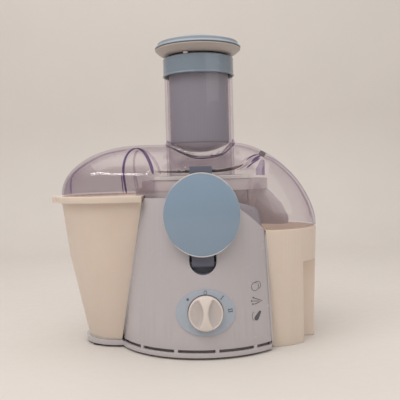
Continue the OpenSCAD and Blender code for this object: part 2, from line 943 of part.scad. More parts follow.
module feed_tube() {
    color("lavender", 0.4) at_axis() translate([0, 0, tube_z]) ring(tube_r, tube_bore_r, tube_top_z - tube_z);
}

module tube_collar() {
    color("lightsteelblue") at_axis() translate([0, 0, tube_top_z + collar_top_t - collar_h]) difference() {
        cylinder(r = cuff_r, h = collar_h);
        translate([0, 0, -eps]) cylinder(r = tube_r + fit, h = collar_h - collar_top_t + eps);
        cylinder(r = tube_bore_r, h = far);
    }
}

// ---- Pusher ----

// A cup with a rounded bottom, and a key along its side.
module pusher_body() {
    h = ring_z - pusher_z;
    bottom_r = (pusher_r * pusher_r + pusher_drop * pusher_drop) / (2 * pusher_drop);
    color("darkgray") at_axis() translate([0, 0, pusher_z]) difference() {
        union() {
            cylinder(r = pusher_r, h = h);
            intersection() {
                translate([0, 0, -pusher_drop]) cylinder(r = pusher_r, h = 2 * pusher_drop);
                translate([0, 0, bottom_r - pusher_drop]) sphere(r = bottom_r, $fn = 200);
            }
            rotate([0, 0, key_turn])
                box_at([pusher_r - 1, pusher_r + 1.4], [-key_half, key_half], [key_start, h]);
        }
        translate([0, 0, pusher_t]) cylinder(r = pusher_r - pusher_t, h = h);
    }
}

module pusher_ring() {
    color("whitesmoke") at_axis() {
        translate([0, 0, ring_z]) difference() {
            cylinder(r1 = ring_foot_r, r2 = cap_r, h = ring_h);
            translate([0, 0, -eps]) cylinder(r = pusher_r - pusher_t, h = ring_h + 2 * eps);
        }
        rotate([0, 0, key_turn]) translate([pusher_r + 3, 0, ring_z - ring_gap + fit])
            box_at([0, 3], [-key_half, key_half], [0, ring_gap - fit + 1]);
    }
}

module pusher_cap() {
    edge_h = cap_h - cap_dome_h;
    dome_r = (cap_r * cap_r + cap_dome_h * cap_dome_h) / (2 * cap_dome_h);
    color("lightsteelblue") at_axis() translate([0, 0, ring_z + ring_h]) difference() {
        intersection() {
            cylinder(r = cap_r, h = cap_h);
            translate([0, 0, cap_h - dome_r]) sphere(r = dome_r, $fn = 200);
        }
        translate([0, 0, -eps]) cylinder(r = cap_r - cap_wall, h = edge_h - 2);
    }
}

// ---- Containers ----

module left_of_housing(inset) {
    gap = bin_clear + inset;
    along_y(far) polygon([
        [left_x_at(0) - gap, 0], [left_x_at(far) - gap, far], [-far, far], [-far, 0]
    ]);
}

module bin_solid(inset, low, high) {
    intersection() {
        hull() {
            for (x = [bin_x, bin_x + bin_length]) translate([x, 0, high - 1])
                cylinder(r = bin_r - inset, h = 1, $fn = 2 * hull_fn);
            translate([bin_waist_x, 0, bin_waist_z]) cylinder(r = bin_waist_r - inset, h = 1, $fn = 2 * hull_fn);
            translate([bin_foot_x, 0, low]) cylinder(r = bin_foot_r - inset, h = 1, $fn = 2 * hull_fn);
        }
        left_of_housing(inset);
    }
}

module flange_outline(grow) {
    intersection() {
        union() {
            translate([bin_x, 0]) circle(bin_r + grow);
            translate([bin_x, -bin_r - grow]) square([-bin_x, 2 * (bin_r + grow)]);
        }
        translate([-far, -far]) square([far + left_x_at(bin_top_z - flange_h) - bin_clear, 2 * far]);
    }
}

module finger_lip(inset) {
    translate([lip_r - lip_reach, 0]) circle(lip_r - inset);
}

module pulp_container() {
    color("antiquewhite") at_axis() difference() {
        union() {
            bin_solid(0, bin_z, bin_top_z);
            translate([0, 0, bin_top_z - shell_t]) linear_extrude(shell_t) {
                flange_outline(flange_w);
                finger_lip(0);
            }
            translate([0, 0, bin_top_z - flange_h]) linear_extrude(flange_h) difference() {
                union() {
                    flange_outline(flange_w);
                    finger_lip(0);
                }
                flange_outline(flange_w - shell_t);
                finger_lip(shell_t);
            }
        }
        bin_solid(shell_t, bin_z + shell_t, bin_top_z);
        translate([0, 0, bin_top_z - 2 * shell_t]) linear_extrude(far) intersection() {
            flange_outline(-shell_t);
            translate([-far, -far]) square([far + left_x_at(bin_top_z) - bin_clear - 2 * shell_t, 2 * far]);
        }
    }
}

module jug_solid(inset) {
    x_low = right_x_at(0) + jug_clear + inset;
    x_high = right_x_at(jug_h) + jug_clear + inset;
    difference() {
        intersection() {
            translate([jug_x, 0, inset]) cylinder(r1 = jug_foot_r - inset, r2 = jug_r - inset, h = jug_h);
            along_y(far) polygon([[x_low, 0], [far, 0], [far, far], [x_high, far], [x_high, jug_h]]);
        }
        for (s = [0, 1]) mirror([0, s, 0])
            box_at([grip_x - inset, far], [grip_half - inset, far], [-1, grip_top_z + inset]);
    }
}

module juice_jug() {
    color("antiquewhite") at_axis() difference() {
        intersection() {
            jug_solid(0);
            cylinder(r = far, h = jug_h);
        }
        jug_solid(shell_t);
    }
}

// ---- Latch ----

module latch_arm() {
    color("slategray") at_axis() difference() {
        union() {
            translate([0, pivot_y, pivot_z]) rotate([0, 90, 0])
                cylinder(r = barrel_r, h = arm_w, center = true);
            translate([0, pivot_y + cam_offset, pivot_z]) rotate([0, 90, 0])
                cylinder(r = barrel_r, h = 2 * cam_half, center = true);
            box_at([-arm_w / 2, arm_w / 2], [arm_y, arm_y + arm_t], [pivot_z, hook_z]);
            box_at([-arm_w / 2, arm_w / 2], [arm_y, -bowl_r - hook_gap], [hook_z - hook_h, hook_z]);
        }
        translate([0, pivot_y, pivot_z]) rotate([0, 90, 0])
            cylinder(r = pin_r + fit, h = far, center = true);
    }
}

module latch_pin() {
    color("silver") at_axis() translate([0, pivot_y, pivot_z]) rotate([0, 90, 0])
        cylinder(r = pin_r, h = 2 * (slot_r + pocket_t) - 0.4, center = true);
}

module cover_outline(grow = 0) {
    scale([(cover_w + 2 * grow) / (cover_h + 2 * grow), 1]) circle((cover_h + 2 * grow) / 2);
}

module latch_cover() {
    half = cover_h / 2;
    dome_r = (half * half + cover_rise * cover_rise) / (2 * cover_rise);
    front = cover_y - cover_edge - cover_rise;
    color("lightsteelblue") at_axis() {
        intersection() {
            translate([0, front / 2 + cover_y / 2, cover_z]) along_y(cover_y - front) cover_outline();
            translate([0, front + dome_r, cover_z]) sphere(r = dome_r, $fn = 200);
        }
        translate([0, 0, cover_z])
            box_at([-cover_rib_x, cover_rib_x], [cover_y - 1, arm_y], [-cover_rib_z, cover_rib_z]);
    }
}

module interlock_plunger() {
    tip = pivot_y + cam_offset + barrel_r + cam_gap;
    color("whitesmoke") at_axis() translate([0, tip, pivot_z]) rotate([-90, 0, 0])
        cylinder(r = plunger_r, h = plunger_len);
}

module safety_switch() {
    back = pocket_y + pocket_t;
    color("dimgray") at_axis() difference() {
        translate([0, 0, pivot_z])
            box_at([-switch_x, switch_x], [back + slip, back + switch_depth], [-switch_z, switch_z]);
        translate([0, back - 1, pivot_z]) rotate([-90, 0, 0]) cylinder(r = plunger_r + slip, h = 8);
    }
}

// ---- Knob ----

module dial_plate() {
    color("lightsteelblue") at_axis() difference() {
        intersection() {
            difference() {
                translate([0, 0, drum_z])
                    cylinder(r1 = drum_r + dial_t, r2 = drum_top_r + dial_t, h = drum_top_z - drum_z);
                translate([0, 0, drum_z]) cylinder(r1 = drum_r, r2 = drum_top_r, h = drum_top_z - drum_z);
            }
            on_panel(knob_z, knob_side) translate([0, 0, -far / 10]) linear_extrude(far / 5)
                scale([dial_w / dial_h, 1]) circle(dial_h / 2);
        }
        on_panel(knob_z, knob_side) translate([0, 0, -far / 10]) cylinder(r = knob_r + knob_clear, h = far / 5);
    }
}

module selector_knob() {
    color("ivory") at_axis() on_panel(knob_z, knob_side) difference() {
        union() {
            translate([0, 0, -knob_sink]) cylinder(r = knob_r, h = knob_disc + knob_sink);
            intersection() {
                cylinder(r = knob_r - 0.5, h = knob_reach);
                difference() {
                    box_at([-grip_w, grip_w], [-far, far], [0, far]);
                    for (s = [-1, 1]) translate([s * (grip_w / 2 + waist_r), 0, 0])
                        cylinder(r = waist_r, h = far);
                }
            }
        }
        translate([0, 0, -knob_sink - 1]) cylinder(r = spindle_r, h = 7);
    }
}

module knob_spindle() {
    color("silver") at_axis() on_panel(knob_z, knob_side) translate([0, 0, -spindle_back])
        cylinder(r = spindle_r, h = spindle_len);
}

module rotary_switch() {
    color("dimgray") at_axis() on_panel(knob_z, knob_side) difference() {
        translate([0, 0, -seat_back - spindle_back])
            box_at([-switch_half, switch_half], [-switch_half, switch_half], [0, spindle_back]);
        translate([0, 0, -spindle_back - 0.5]) cylinder(r = spindle_r + slip, h = far);
    }
}

base_plate();
feet();
base_screws();
motor_housing();
dial_plate();
rotary_switch();
knob_spindle();
selector_knob();
juice_bowl();
shaft_seal();
motor_stator();
field_coils();
upper_bracket();
lower_bracket();
upper_bearing();
lower_bearing();
brush_holders();
carbon_brushes();
motor_bolts();
motor_dampers();
damper_screws();
motor_shaft();
armature();
armature_windings();
commutator();
cooling_fan();
drive_coupling();
basket_hub();
grater_disc();
filter_sieve();
basket_rim();
latch_arm();
latch_cover();
latch_pin();
interlock_plunger();
safety_switch();
terminal_block();
suppression_capacitor();
cord_inlet();
lid();
feed_tube();
tube_collar();
pusher_body();
pusher_ring();
pusher_cap();
pulp_container();
juice_jug();
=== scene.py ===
import json
import math

import bmesh
import bpy
import numpy as np
from mathutils import Matrix, Quaternion, Vector


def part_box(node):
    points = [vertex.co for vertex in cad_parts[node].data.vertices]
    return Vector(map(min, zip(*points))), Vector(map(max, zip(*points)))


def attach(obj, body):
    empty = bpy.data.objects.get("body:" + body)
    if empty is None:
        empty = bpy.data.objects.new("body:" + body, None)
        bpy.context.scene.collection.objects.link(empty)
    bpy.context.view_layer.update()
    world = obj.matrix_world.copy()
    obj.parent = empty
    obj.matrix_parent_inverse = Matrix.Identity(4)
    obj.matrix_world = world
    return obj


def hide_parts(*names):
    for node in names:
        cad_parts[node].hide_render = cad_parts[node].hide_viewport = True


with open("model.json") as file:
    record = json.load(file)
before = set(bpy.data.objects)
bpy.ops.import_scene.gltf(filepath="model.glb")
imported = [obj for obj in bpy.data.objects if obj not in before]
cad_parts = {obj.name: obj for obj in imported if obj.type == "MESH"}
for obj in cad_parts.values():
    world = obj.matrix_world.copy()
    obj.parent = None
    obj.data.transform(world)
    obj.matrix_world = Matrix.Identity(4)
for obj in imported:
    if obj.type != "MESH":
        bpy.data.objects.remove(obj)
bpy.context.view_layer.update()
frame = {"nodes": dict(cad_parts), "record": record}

# Lengths are millimetres around the spin axis, with +Z up and the front at -Y. piece() turns them into
# the row frame's metres.
MM = 0.001
SHAFT_LOW, SHAFT_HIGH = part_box("motor_shaft")
AXIS = Vector(((SHAFT_LOW.x + SHAFT_HIGH.x) / 2, (SHAFT_LOW.y + SHAFT_HIGH.y) / 2, 0.0))
TO_FRAME = Matrix.Translation(AXIS) @ Matrix.Scale(MM, 4)


def span(node):
    """Lowest and highest corner of a CAD node, in millimetres around the spin axis."""
    low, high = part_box(node)
    return (low - AXIS) / MM, (high - AXIS) / MM


BODY_OF = {node: body for body, nodes in frame["record"]["behaviour"]["bodies"].items() for node in nodes}
SLOT_OF = {part["node"]: part["material_slot"] for part in frame["record"]["subparts"]}

# Housing: a cone with two flat sides, and the panel that the knob sits on
DRUM_R, DRUM_TOP_R = 98.0, 86.0
DRUM_Z, DRUM_TOP_Z = span("motor_housing")[0].z, span("motor_housing")[1].z
PANEL_TILT = math.atan((DRUM_R - DRUM_TOP_R) / (DRUM_TOP_Z - DRUM_Z))

# Angle in degrees from which an edge of a CAD node is rounded
SHARP_EDGE = 32.0

# Lid
BOWL_R, BOWL_TOP_Z = span("juice_bowl")[1].y, span("juice_bowl")[1].z
BAND_Z = 170.5
LID_T = 2.4
LID_GAP = 0.2
RIDGE_Z = 222.0
LEFT_X, LEFT_RIDGE_X, LEFT_R, LEFT_Z, LEFT_TOP_Z = -98.0, -71.0, 62.0, 168.6, 222.5
RIGHT_X, RIGHT_R, RIGHT_Z = 69.0, 61.5, span("lid")[0].z
RIGHT_RIDGE_X = 39.0
RIM_H = 11.0
OPEN_Z = 228.0
TUBE_R, TUBE_BORE_R = span("feed_tube")[1].y, 36.0
TUBE_Z, TUBE_TOP_Z = span("feed_tube")[0].z, span("feed_tube")[1].z


# ---------------------------------------------------------------- meshes

def piece(name, bm, body, material, replaced=(), smooth=40.0):
    """A finished mesh, drawn in millimetres around the spin axis, as an object that rides on a body."""
    bmesh.ops.transform(bm, matrix=TO_FRAME, verts=bm.verts)
    return frame_piece(name, bm, body, material, replaced, smooth)


def frame_piece(name, bm, body, material, replaced=(), smooth=40.0):
    """The same for a mesh that is already in the row frame."""
    bmesh.ops.recalc_face_normals(bm, faces=bm.faces)
    mesh = bpy.data.meshes.new(name)
    bm.to_mesh(mesh)
    bm.free()
    mesh.shade_smooth()
    mesh.set_sharp_from_angle(angle=math.radians(smooth))
    for m in material if isinstance(material, (list, tuple)) else [material]:
        mesh.materials.append(m)
    obj = bpy.data.objects.new(name, mesh)
    bpy.context.scene.collection.objects.link(obj)
    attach(obj, body)
    if replaced:
        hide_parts(*replaced)
    return obj


def softened(node, width, material, segments=3):
    """A copy of a CAD node with every sharp edge rounded, standing for that node."""
    source = frame["nodes"][node]
    bm = bmesh.new()
    bm.from_mesh(source.data)
    bmesh.ops.remove_doubles(bm, verts=bm.verts, dist=0.00002)
    bmesh.ops.dissolve_limit(bm, angle_limit=math.radians(0.4), verts=bm.verts, edges=bm.edges)
    mesh = bpy.data.meshes.new("work")
    bm.to_mesh(mesh)
    bm.free()
    work = bpy.data.objects.new("work", mesh)
    bpy.context.scene.collection.objects.link(work)
    bevel = work.modifiers.new("bevel", "BEVEL")
    bevel.width = width * MM
    bevel.segments = segments
    bevel.limit_method = "ANGLE"
    bevel.angle_limit = math.radians(SHARP_EDGE)
    bevel.miter_outer = "MITER_ARC"
    bm = applied(work)
    return frame_piece(node + "_moulding", bm, BODY_OF[node], material, (node,))


def applied(work):
    """The mesh of a scratch object with its modifiers applied, as a bmesh. The object goes."""
    view = bpy.context.evaluated_depsgraph_get()
    bm = bmesh.new()
    bm.from_mesh(work.evaluated_get(view).to_mesh())
    mesh = work.data
    bpy.data.objects.remove(work)
    bpy.data.meshes.remove(mesh)
    return bm


def revolved(outline, steps):
    """A closed outline of (radius, height) points turned around the spin axis."""
    bm = bmesh.new()
    rings = []
    for r, z in outline:
        if r < 1e-6:
            rings.append([bm.verts.new((0, 0, z))])
            continue
        turn = [2 * math.pi * i / steps for i in range(steps)]
        rings.append([bm.verts.new((r * math.cos(a), r * math.sin(a), z)) for a in turn])
    for low, high in zip(rings, rings[1:] + rings[:1]):
        if len(low) == 1 and len(high) == 1:
            continue
        for i in range(steps):
            j = (i + 1) % steps
            corners = [low[i % len(low)], low[j % len(low)], high[j % len(high)], high[i % len(high)]]
            bm.faces.new(list(dict.fromkeys(corners)))
    return bm


def rounded(points, radii, steps=5):
    """A closed outline with each corner replaced by an arc of its own radius."""
    out = []
    count = len(points)
    for i, (p, r) in enumerate(zip(points, radii)):
        here = Vector(p).to_2d()
        before = Vector(points[i - 1]).to_2d() - here
        after = Vector(points[(i + 1) % count]).to_2d() - here
        if r <= 0:
            out.append(tuple(here))
            continue
        half = before.angle(after) / 2
        reach = min(r / math.tan(half), 0.49 * before.length, 0.49 * after.length)
        start = here + before.normalized() * reach
        end = here + after.normalized() * reach
        for k in range(steps + 1):
            t = k / steps
            a = start.lerp(here, t)
            b = here.lerp(end, t)
            out.append(tuple(a.lerp(b, t)))
    return out


def on_panel(z, turn=0.0):
    """The matrix that lays a drawing on the XY plane, outwards along +Z, on the drum's front at a height."""
    r = DRUM_R + (DRUM_TOP_R - DRUM_R) * (z - DRUM_Z) / (DRUM_TOP_Z - DRUM_Z)
    place = Matrix.Rotation(math.radians(turn), 4, "Z") @ Matrix.Translation((0, -r, z))
    return place @ Matrix.Rotation(math.pi / 2 - PANEL_TILT, 4, "X")


# ---------------------------------------------------------------- materials

def node_tree(name):
    material = bpy.data.materials.new(name)
    material.use_nodes = True
    tree = material.node_tree
    return material, tree, tree.nodes["Principled BSDF"], tree.nodes["Material Output"]


def noise(tree, coords, scale, detail=4.0, roughness=0.55):
    n = tree.nodes.new("ShaderNodeTexNoise")
    n.inputs["Scale"].default_value = scale
    n.inputs["Detail"].default_value = detail
    n.inputs["Roughness"].default_value = roughness
    tree.links.new(coords, n.inputs["Vector"])
    return n.outputs["Fac"]


def ramp(tree, source, low, high, low_at=0.3, high_at=0.7):
    n = tree.nodes.new("ShaderNodeMapRange")
    n.inputs["From Min"].default_value = low_at
    n.inputs["From Max"].default_value = high_at
    n.inputs["To Min"].default_value = low
    n.inputs["To Max"].default_value = high
    tree.links.new(source, n.inputs["Value"])
    return n.outputs["Result"]


def blend(tree, factor, a, b):
    n = tree.nodes.new("ShaderNodeMix")
    n.data_type = "RGBA"
    n.inputs["A"].default_value = (*a, 1)
    n.inputs["B"].default_value = (*b, 1)
    tree.links.new(factor, n.inputs["Factor"])
    return n.outputs["Result"]


def shaded(colour, gain):
    return tuple(min(1.0, c * gain) for c in colour)


def bumps(tree, shader, height, strength, distance):
    n = tree.nodes.new("ShaderNodeBump")
    n.inputs["Strength"].default_value = strength
    n.inputs["Distance"].default_value = distance
    tree.links.new(height, n.inputs["Height"])
    tree.links.new(n.outputs["Normal"], shader.inputs["Normal"])


GRAIN_SCALE = 2200.0
SOFT_DEPTH = 0.004


def plastic(name, colour, roughness=0.3, vary=0.05, grain=0.15, coat=0.0, sheen_scale=30.0, soft=0.0,
            glow=0.0, cover=1.0):
    """Moulded plastic: slow colour drift, uneven gloss, and the fine texture that a mould leaves."""
    material, tree, shader, _ = node_tree(name)
    coords = tree.nodes.new("ShaderNodeTexCoord").outputs["Object"]
    slow = noise(tree, coords, sheen_scale)
    fine = noise(tree, coords, GRAIN_SCALE, 2.0)
    smudge = noise(tree, coords, 90.0, 6.0, 0.65)
    tree.links.new(blend(tree, slow, shaded(colour, 1 - vary), shaded(colour, 1 + vary)),
                   shader.inputs["Base Color"])
    tree.links.new(ramp(tree, smudge, roughness * 0.8, roughness * 1.3), shader.inputs["Roughness"])
    bumps(tree, shader, fine, grain, 0.00006)
    shader.inputs["Coat Weight"].default_value = coat
    shader.inputs["Coat Roughness"].default_value = 0.06
    shader.inputs["Subsurface Weight"].default_value = soft
    shader.inputs["Subsurface Radius"].default_value = (1.0, 0.7, 0.5)
    shader.inputs["Subsurface Scale"].default_value = SOFT_DEPTH
    shader.inputs["IOR"].default_value = 1.5
    # glow makes the surface give off its own colour: painted light, for parts lit brighter than the lamps
    # make them.
    shader.inputs["Emission Color"].default_value = (*colour, 1)
    shader.inputs["Emission Strength"].default_value = glow
    shader.inputs["Alpha"].default_value = cover
    return material


def metal(name, colour, roughness=0.3, stretch=(1, 1, 1), scale=400.0, wear=0.2):
    """Metal with fine directional marks."""
    material, tree, shader, _ = node_tree(name)
    coords = tree.nodes.new("ShaderNodeTexCoord").outputs["Object"]
    mapping = tree.nodes.new("ShaderNodeMapping")
    mapping.inputs["Scale"].default_value = stretch
    tree.links.new(coords, mapping.inputs["Vector"])
    marks = noise(tree, mapping.outputs["Vector"], scale, 5.0)
    tree.links.new(blend(tree, marks, shaded(colour, 1 - wear), shaded(colour, 1 + wear / 2)),
                   shader.inputs["Base Color"])
    tree.links.new(ramp(tree, marks, roughness * 0.7, roughness * 1.4), shader.inputs["Roughness"])
    bumps(tree, shader, marks, 0.15, 0.00005)
    shader.inputs["Metallic"].default_value = 1.0
    return material


def math_node(tree, operation, a, b):
    n = tree.nodes.new("ShaderNodeMath")
    n.operation = operation
    n.use_clamp = True
    for socket, value in zip(n.inputs, (a, b)):
        if isinstance(value, (int, float)):
            socket.default_value = value
        else:
            tree.links.new(value, socket)
    return n.outputs[0]


def clear(name, tint, edge, gloss=0.05, power=2.5, low=None):
    """Clear moulded plastic: light passes straight through, tinted more where the wall is seen at a slant.
    low is painted shade: a darker tint over the bottom of the left lobe, for the shadowed inside seen through
    it."""
    mirror, slant_mirror = 0.05, 0.6
    material, tree, shader, output = node_tree(name)
    tree.nodes.remove(shader)
    coords = tree.nodes.new("ShaderNodeTexCoord").outputs["Object"]
    layer = tree.nodes.new("ShaderNodeLayerWeight")
    layer.inputs["Blend"].default_value = 0.5
    slant = layer.outputs["Facing"]
    streak = ramp(tree, noise(tree, coords, 60.0, 3.0), 0.8, 1.2)
    weight = math_node(tree, "MULTIPLY", math_node(tree, "POWER", slant, power), streak)
    through = tree.nodes.new("ShaderNodeBsdfTransparent")
    colour = blend(tree, weight, tint, edge)
    # painted shade: the tint is multiplied by a darker one towards the bottom and the left end of the left
    # lobe
    if low:
        place = tree.nodes.new("ShaderNodeSeparateXYZ")
        tree.links.new(coords, place.inputs["Vector"])
        parts = []
        for axis, start, end in (("Z", 0.208, 0.184), ("X", -0.020, -0.045)):
            across = tree.nodes.new("ShaderNodeMapRange")
            across.interpolation_type = "SMOOTHSTEP"
            across.inputs["From Min"].default_value = start
            across.inputs["From Max"].default_value = end
            tree.links.new(place.outputs[axis], across.inputs["Value"])
            parts.append(across.outputs["Result"])
        thick = tree.nodes.new("ShaderNodeMix")
        thick.data_type = "RGBA"
        thick.blend_type = "MULTIPLY"
        tree.links.new(math_node(tree, "MULTIPLY", *parts), thick.inputs["Factor"])
        tree.links.new(colour, thick.inputs["A"])
        thick.inputs["B"].default_value = (*low, 1)
        colour = thick.outputs["Result"]
    tree.links.new(colour, through.inputs["Color"])
    shine = tree.nodes.new("ShaderNodeBsdfGlossy")
    haze = ramp(tree, noise(tree, coords, 25.0, 3.0), gloss * 0.6, gloss * 1.5)
    tree.links.new(haze, shine.inputs["Roughness"])
    dents = tree.nodes.new("ShaderNodeBump")
    dents.inputs["Strength"].default_value = 0.25
    dents.inputs["Distance"].default_value = 0.0006
    tree.links.new(noise(tree, coords, 35.0, 2.0), dents.inputs["Height"])
    tree.links.new(dents.outputs["Normal"], shine.inputs["Normal"])
    grazing = math_node(tree, "MULTIPLY", math_node(tree, "POWER", slant, 5.0), slant_mirror)
    gleam = math_node(tree, "ADD", grazing, mirror)
    both = tree.nodes.new("ShaderNodeMixShader")
    tree.links.new(gleam, both.inputs["Fac"])
    tree.links.new(through.outputs[0], both.inputs[1])
    tree.links.new(shine.outputs[0], both.inputs[2])
    tree.links.new(both.outputs[0], output.inputs["Surface"])
    return material


HOUSING = plastic("housing_gloss", (0.47, 0.44, 0.46), roughness=0.22, vary=0.02, grain=0.04, coat=0.6)
# Dark grey for the lip behind the housing's top edge: painted shade on that inner wall.
LIP_SHADED = plastic("housing_lip_shaded", (0.29, 0.26, 0.30), roughness=0.3, vary=0.03, grain=0.05, coat=0.2)
CREAM = plastic("container_cream", (0.69, 0.605, 0.53), roughness=0.38, vary=0.03, grain=0.12, soft=0.6)
# Glowing copy of the cream for the jug's grip recesses: painted light that lightens their shade.
CREAM_GRIP_GLOW = plastic("container_grip_painted_glow", (0.70, 0.615, 0.54), roughness=0.38, vary=0.03, grain=0.12, soft=0.6,
                     glow=0.05)
# Lighter, glowing copy of the cream for the containers' insides: painted light that lightens their shade.
CREAM_INSIDE_GLOW = plastic("container_inside_painted_glow", (0.74, 0.655, 0.575), roughness=0.45, vary=0.03, grain=0.12,
                       soft=0.6, glow=0.09)
SKY = plastic("trim_blue", (0.225, 0.31, 0.41), roughness=0.16, vary=0.03, grain=0.05, coat=0.5)
CAP_BLUE = plastic("cap_blue", (0.30, 0.35, 0.41), roughness=0.38, vary=0.03, grain=0.05, coat=0.15)
COLLAR = plastic("collar_blue", (0.19, 0.235, 0.29), roughness=0.22, vary=0.04, grain=0.05, coat=0.3)
IVORY = plastic("off_white", (0.68, 0.61, 0.57), roughness=0.28, vary=0.03, grain=0.08, coat=0.2)
# Darker copy of the off-white for the pusher's ring: painted shade on its shaded front.
RING_SHADED = plastic("ring_ivory_shaded", (0.48, 0.43, 0.40), roughness=0.35, vary=0.03, grain=0.08)
DIAL = plastic("dial_blue", (0.37, 0.42, 0.49), roughness=0.2, vary=0.03, grain=0.05, coat=0.4)
# Pale grey for the bead round the latch cover: painted highlight on its bevel.
RIM_HIGHLIGHT = plastic("cover_rim_highlight", (0.52, 0.52, 0.53), roughness=0.25, vary=0.03, grain=0.05, coat=0.3)
# Lighter copy of the pusher's grey for its rounded bottom: painted light on an underside that is in shade.
DOME_LIT = plastic("pusher_dome_painted_light", (0.80, 0.73, 0.81), roughness=0.22, vary=0.05, grain=0.05, coat=0.4)
# Darker copy of the off-white for the knob's scooped hollows: painted shade.
SCOOP_SHADED = plastic("knob_scoop_shaded", (0.50, 0.455, 0.44), roughness=0.3, vary=0.03, grain=0.08, coat=0.2)
# Pale, partly see-through grey for the lid's rim over the bowl: painted light that lightens the dark gap at
# the bowl's top.
RIM_BAND_LIGHT = plastic("rim_band_painted_light", (0.74, 0.68, 0.68), roughness=0.15, vary=0.05, grain=0.05, coat=0.8, cover=0.6)
# Dark slate for the inside of the latch slot: painted shade in the recess.
POCKET_SHADE = plastic("pocket_painted_shade", (0.25, 0.25, 0.30), roughness=0.4, vary=0.06, grain=0.15)
# Dark grey-brown for a sheet behind the vents: painted shade for the dark inside seen through them.
VENT_SHADE = plastic("vent_shade_sheet", (0.26, 0.22, 0.22), roughness=0.6, vary=0.2, grain=0.4)
PUSHER = plastic("pusher_grey", (0.30, 0.295, 0.345), roughness=0.35, vary=0.05, grain=0.08)
BOWL = plastic("bowl_mauve", (0.52, 0.455, 0.475), roughness=0.3, vary=0.04, grain=0.08, coat=0.2, soft=0.3)
SLATE = plastic("latch_slate", (0.12, 0.125, 0.17), roughness=0.4, vary=0.06, grain=0.15)
RUBBER = plastic("rubber", (0.03, 0.03, 0.035), roughness=0.7, vary=0.2, grain=0.5)
BLACK = plastic("black_plastic", (0.03, 0.03, 0.035), roughness=0.4, vary=0.15, grain=0.2)
NYLON = plastic("white_nylon", (0.75, 0.73, 0.68), roughness=0.45, vary=0.04, grain=0.15)
YELLOW = plastic("capacitor_yellow", (0.65, 0.48, 0.06), roughness=0.3, vary=0.06, grain=0.1)
CARBON = plastic("carbon", (0.02, 0.02, 0.022), roughness=0.6, vary=0.3, grain=0.4)
STEEL = metal("steel", (0.62, 0.62, 0.64), 0.28)
SIEVE = metal("sieve_steel", (0.68, 0.68, 0.70), 0.22, (1, 1, 6))
LAMINATION = metal("lamination", (0.25, 0.26, 0.28), 0.45, (1, 1, 30), 60.0)
COPPER = metal("winding", (0.52, 0.2, 0.08), 0.35, (8, 8, 1), 200.0)
BRONZE = metal("bronze", (0.55, 0.38, 0.18), 0.35)
ALUMINIUM = metal("aluminium", (0.55, 0.56, 0.58), 0.45, scale=900.0)
# The clear lid carries painted shade low on its left lobe, for the shadowed inside seen through it.
CLEAR = clear("clear_plastic", (0.97, 0.957, 0.965), (0.87, 0.82, 0.89), low=(0.88, 0.865, 0.885))
CLEAR_EDGE = clear("clear_edge", (0.80, 0.72, 0.86), (0.60, 0.50, 0.72), gloss=0.08)
PURPLE = clear("clear_rib", (0.50, 0.40, 0.62), (0.30, 0.20, 0.42), gloss=0.10, power=1.2)
SHOULDER = clear("clear_shoulder", (0.60, 0.53, 0.50), (0.42, 0.36, 0.35), gloss=0.12, power=1.2)
SOFT_EDGE = clear("clear_soft_edge", (0.88, 0.83, 0.88), (0.74, 0.66, 0.74), gloss=0.1)
TAB = clear("clear_tab", (0.42, 0.35, 0.42), (0.26, 0.20, 0.27), gloss=0.12, power=1.2)
INK = plastic("print_dark", (0.10, 0.10, 0.12), roughness=0.5, vary=0.2, grain=0.1)
PLAIN = {
    "housing_white": HOUSING, "container_cream": CREAM, "clear_plastic": CLEAR, "trim_blue": SKY,
    "collar_blue": COLLAR, "off_white": IVORY, "pusher_grey": PUSHER, "bowl_mauve": BOWL,
    "latch_slate": SLATE, "rubber": RUBBER, "steel": STEEL, "sieve_steel": SIEVE,
    "lamination": LAMINATION, "winding": COPPER, "bronze": BRONZE, "aluminium": ALUMINIUM,
    "carbon": CARBON, "black_plastic": BLACK, "white_nylon": NYLON, "capacitor_yellow": YELLOW,
}
for node, obj in frame["nodes"].items():
    obj.data.materials.clear()
    obj.data.materials.append(SLATE if node == "latch_pin" else PLAIN[SLOT_OF[node]])


# ---------------------------------------------------------------- lid

def reach(z):
    """How far the right lobe reaches in X at a height."""
    t = np.clip((z - RIGHT_Z) / (RIDGE_Z + 1 - RIGHT_Z), 0, 1)
    power = 1.7
    return RIGHT_RIDGE_X + (RIGHT_X + RIGHT_R - RIGHT_RIDGE_X) * (1 - t ** power) ** (1 / power)


# Each field below is about the distance in millimetres to the lid's surface, less than zero inside it.
def left_field(x, y, z):
    s = np.maximum(z - LEFT_Z, 0) / (LEFT_TOP_Z - LEFT_Z)
    end = LEFT_RIDGE_X + (LEFT_X - LEFT_RIDGE_X) * np.sqrt(np.clip(1 - s * s, 0, 1))
    d = np.hypot(x - np.clip(x, end, -30.0), y)
    return (np.sqrt((d / LEFT_R) ** 2 + s ** 2) - 1) * LEFT_R


def right_field(x, y, z):
    t = np.clip((z - RIGHT_Z) / (RIDGE_Z + 1 - RIGHT_Z), 0, 1)
    r = RIGHT_R * np.sqrt(1 - t * t)
    over = np.maximum(z - RIDGE_Z - 1, 0)
    return np.sqrt((x - (reach(z) - r)) ** 2 + y * y + over ** 2) - r


def middle_field(x, y, z):
    """The bowl's rim below, and above it a roof from the rim up to the ridge."""
    rim_z = BOWL_TOP_Z + RIM_H
    along = np.clip((x - LEFT_RIDGE_X) / (RIGHT_RIDGE_X - LEFT_RIDGE_X), 0, 1)
    ridge = LEFT_TOP_Z + (RIDGE_Z - LEFT_TOP_Z) * along
    u = np.clip((z - rim_z) / (ridge - rim_z), 0, 1.2)
    centre = np.clip(x, LEFT_RIDGE_X * u, RIGHT_RIDGE_X * u)
    return np.hypot(x - centre, y) - BOWL_R * (1 - u)


def soft_min(a, b, k):
    h = np.clip(0.5 + 0.5 * (b - a) / k, 0, 1)
    return b + (a - b) * h - k * h * (1 - h)


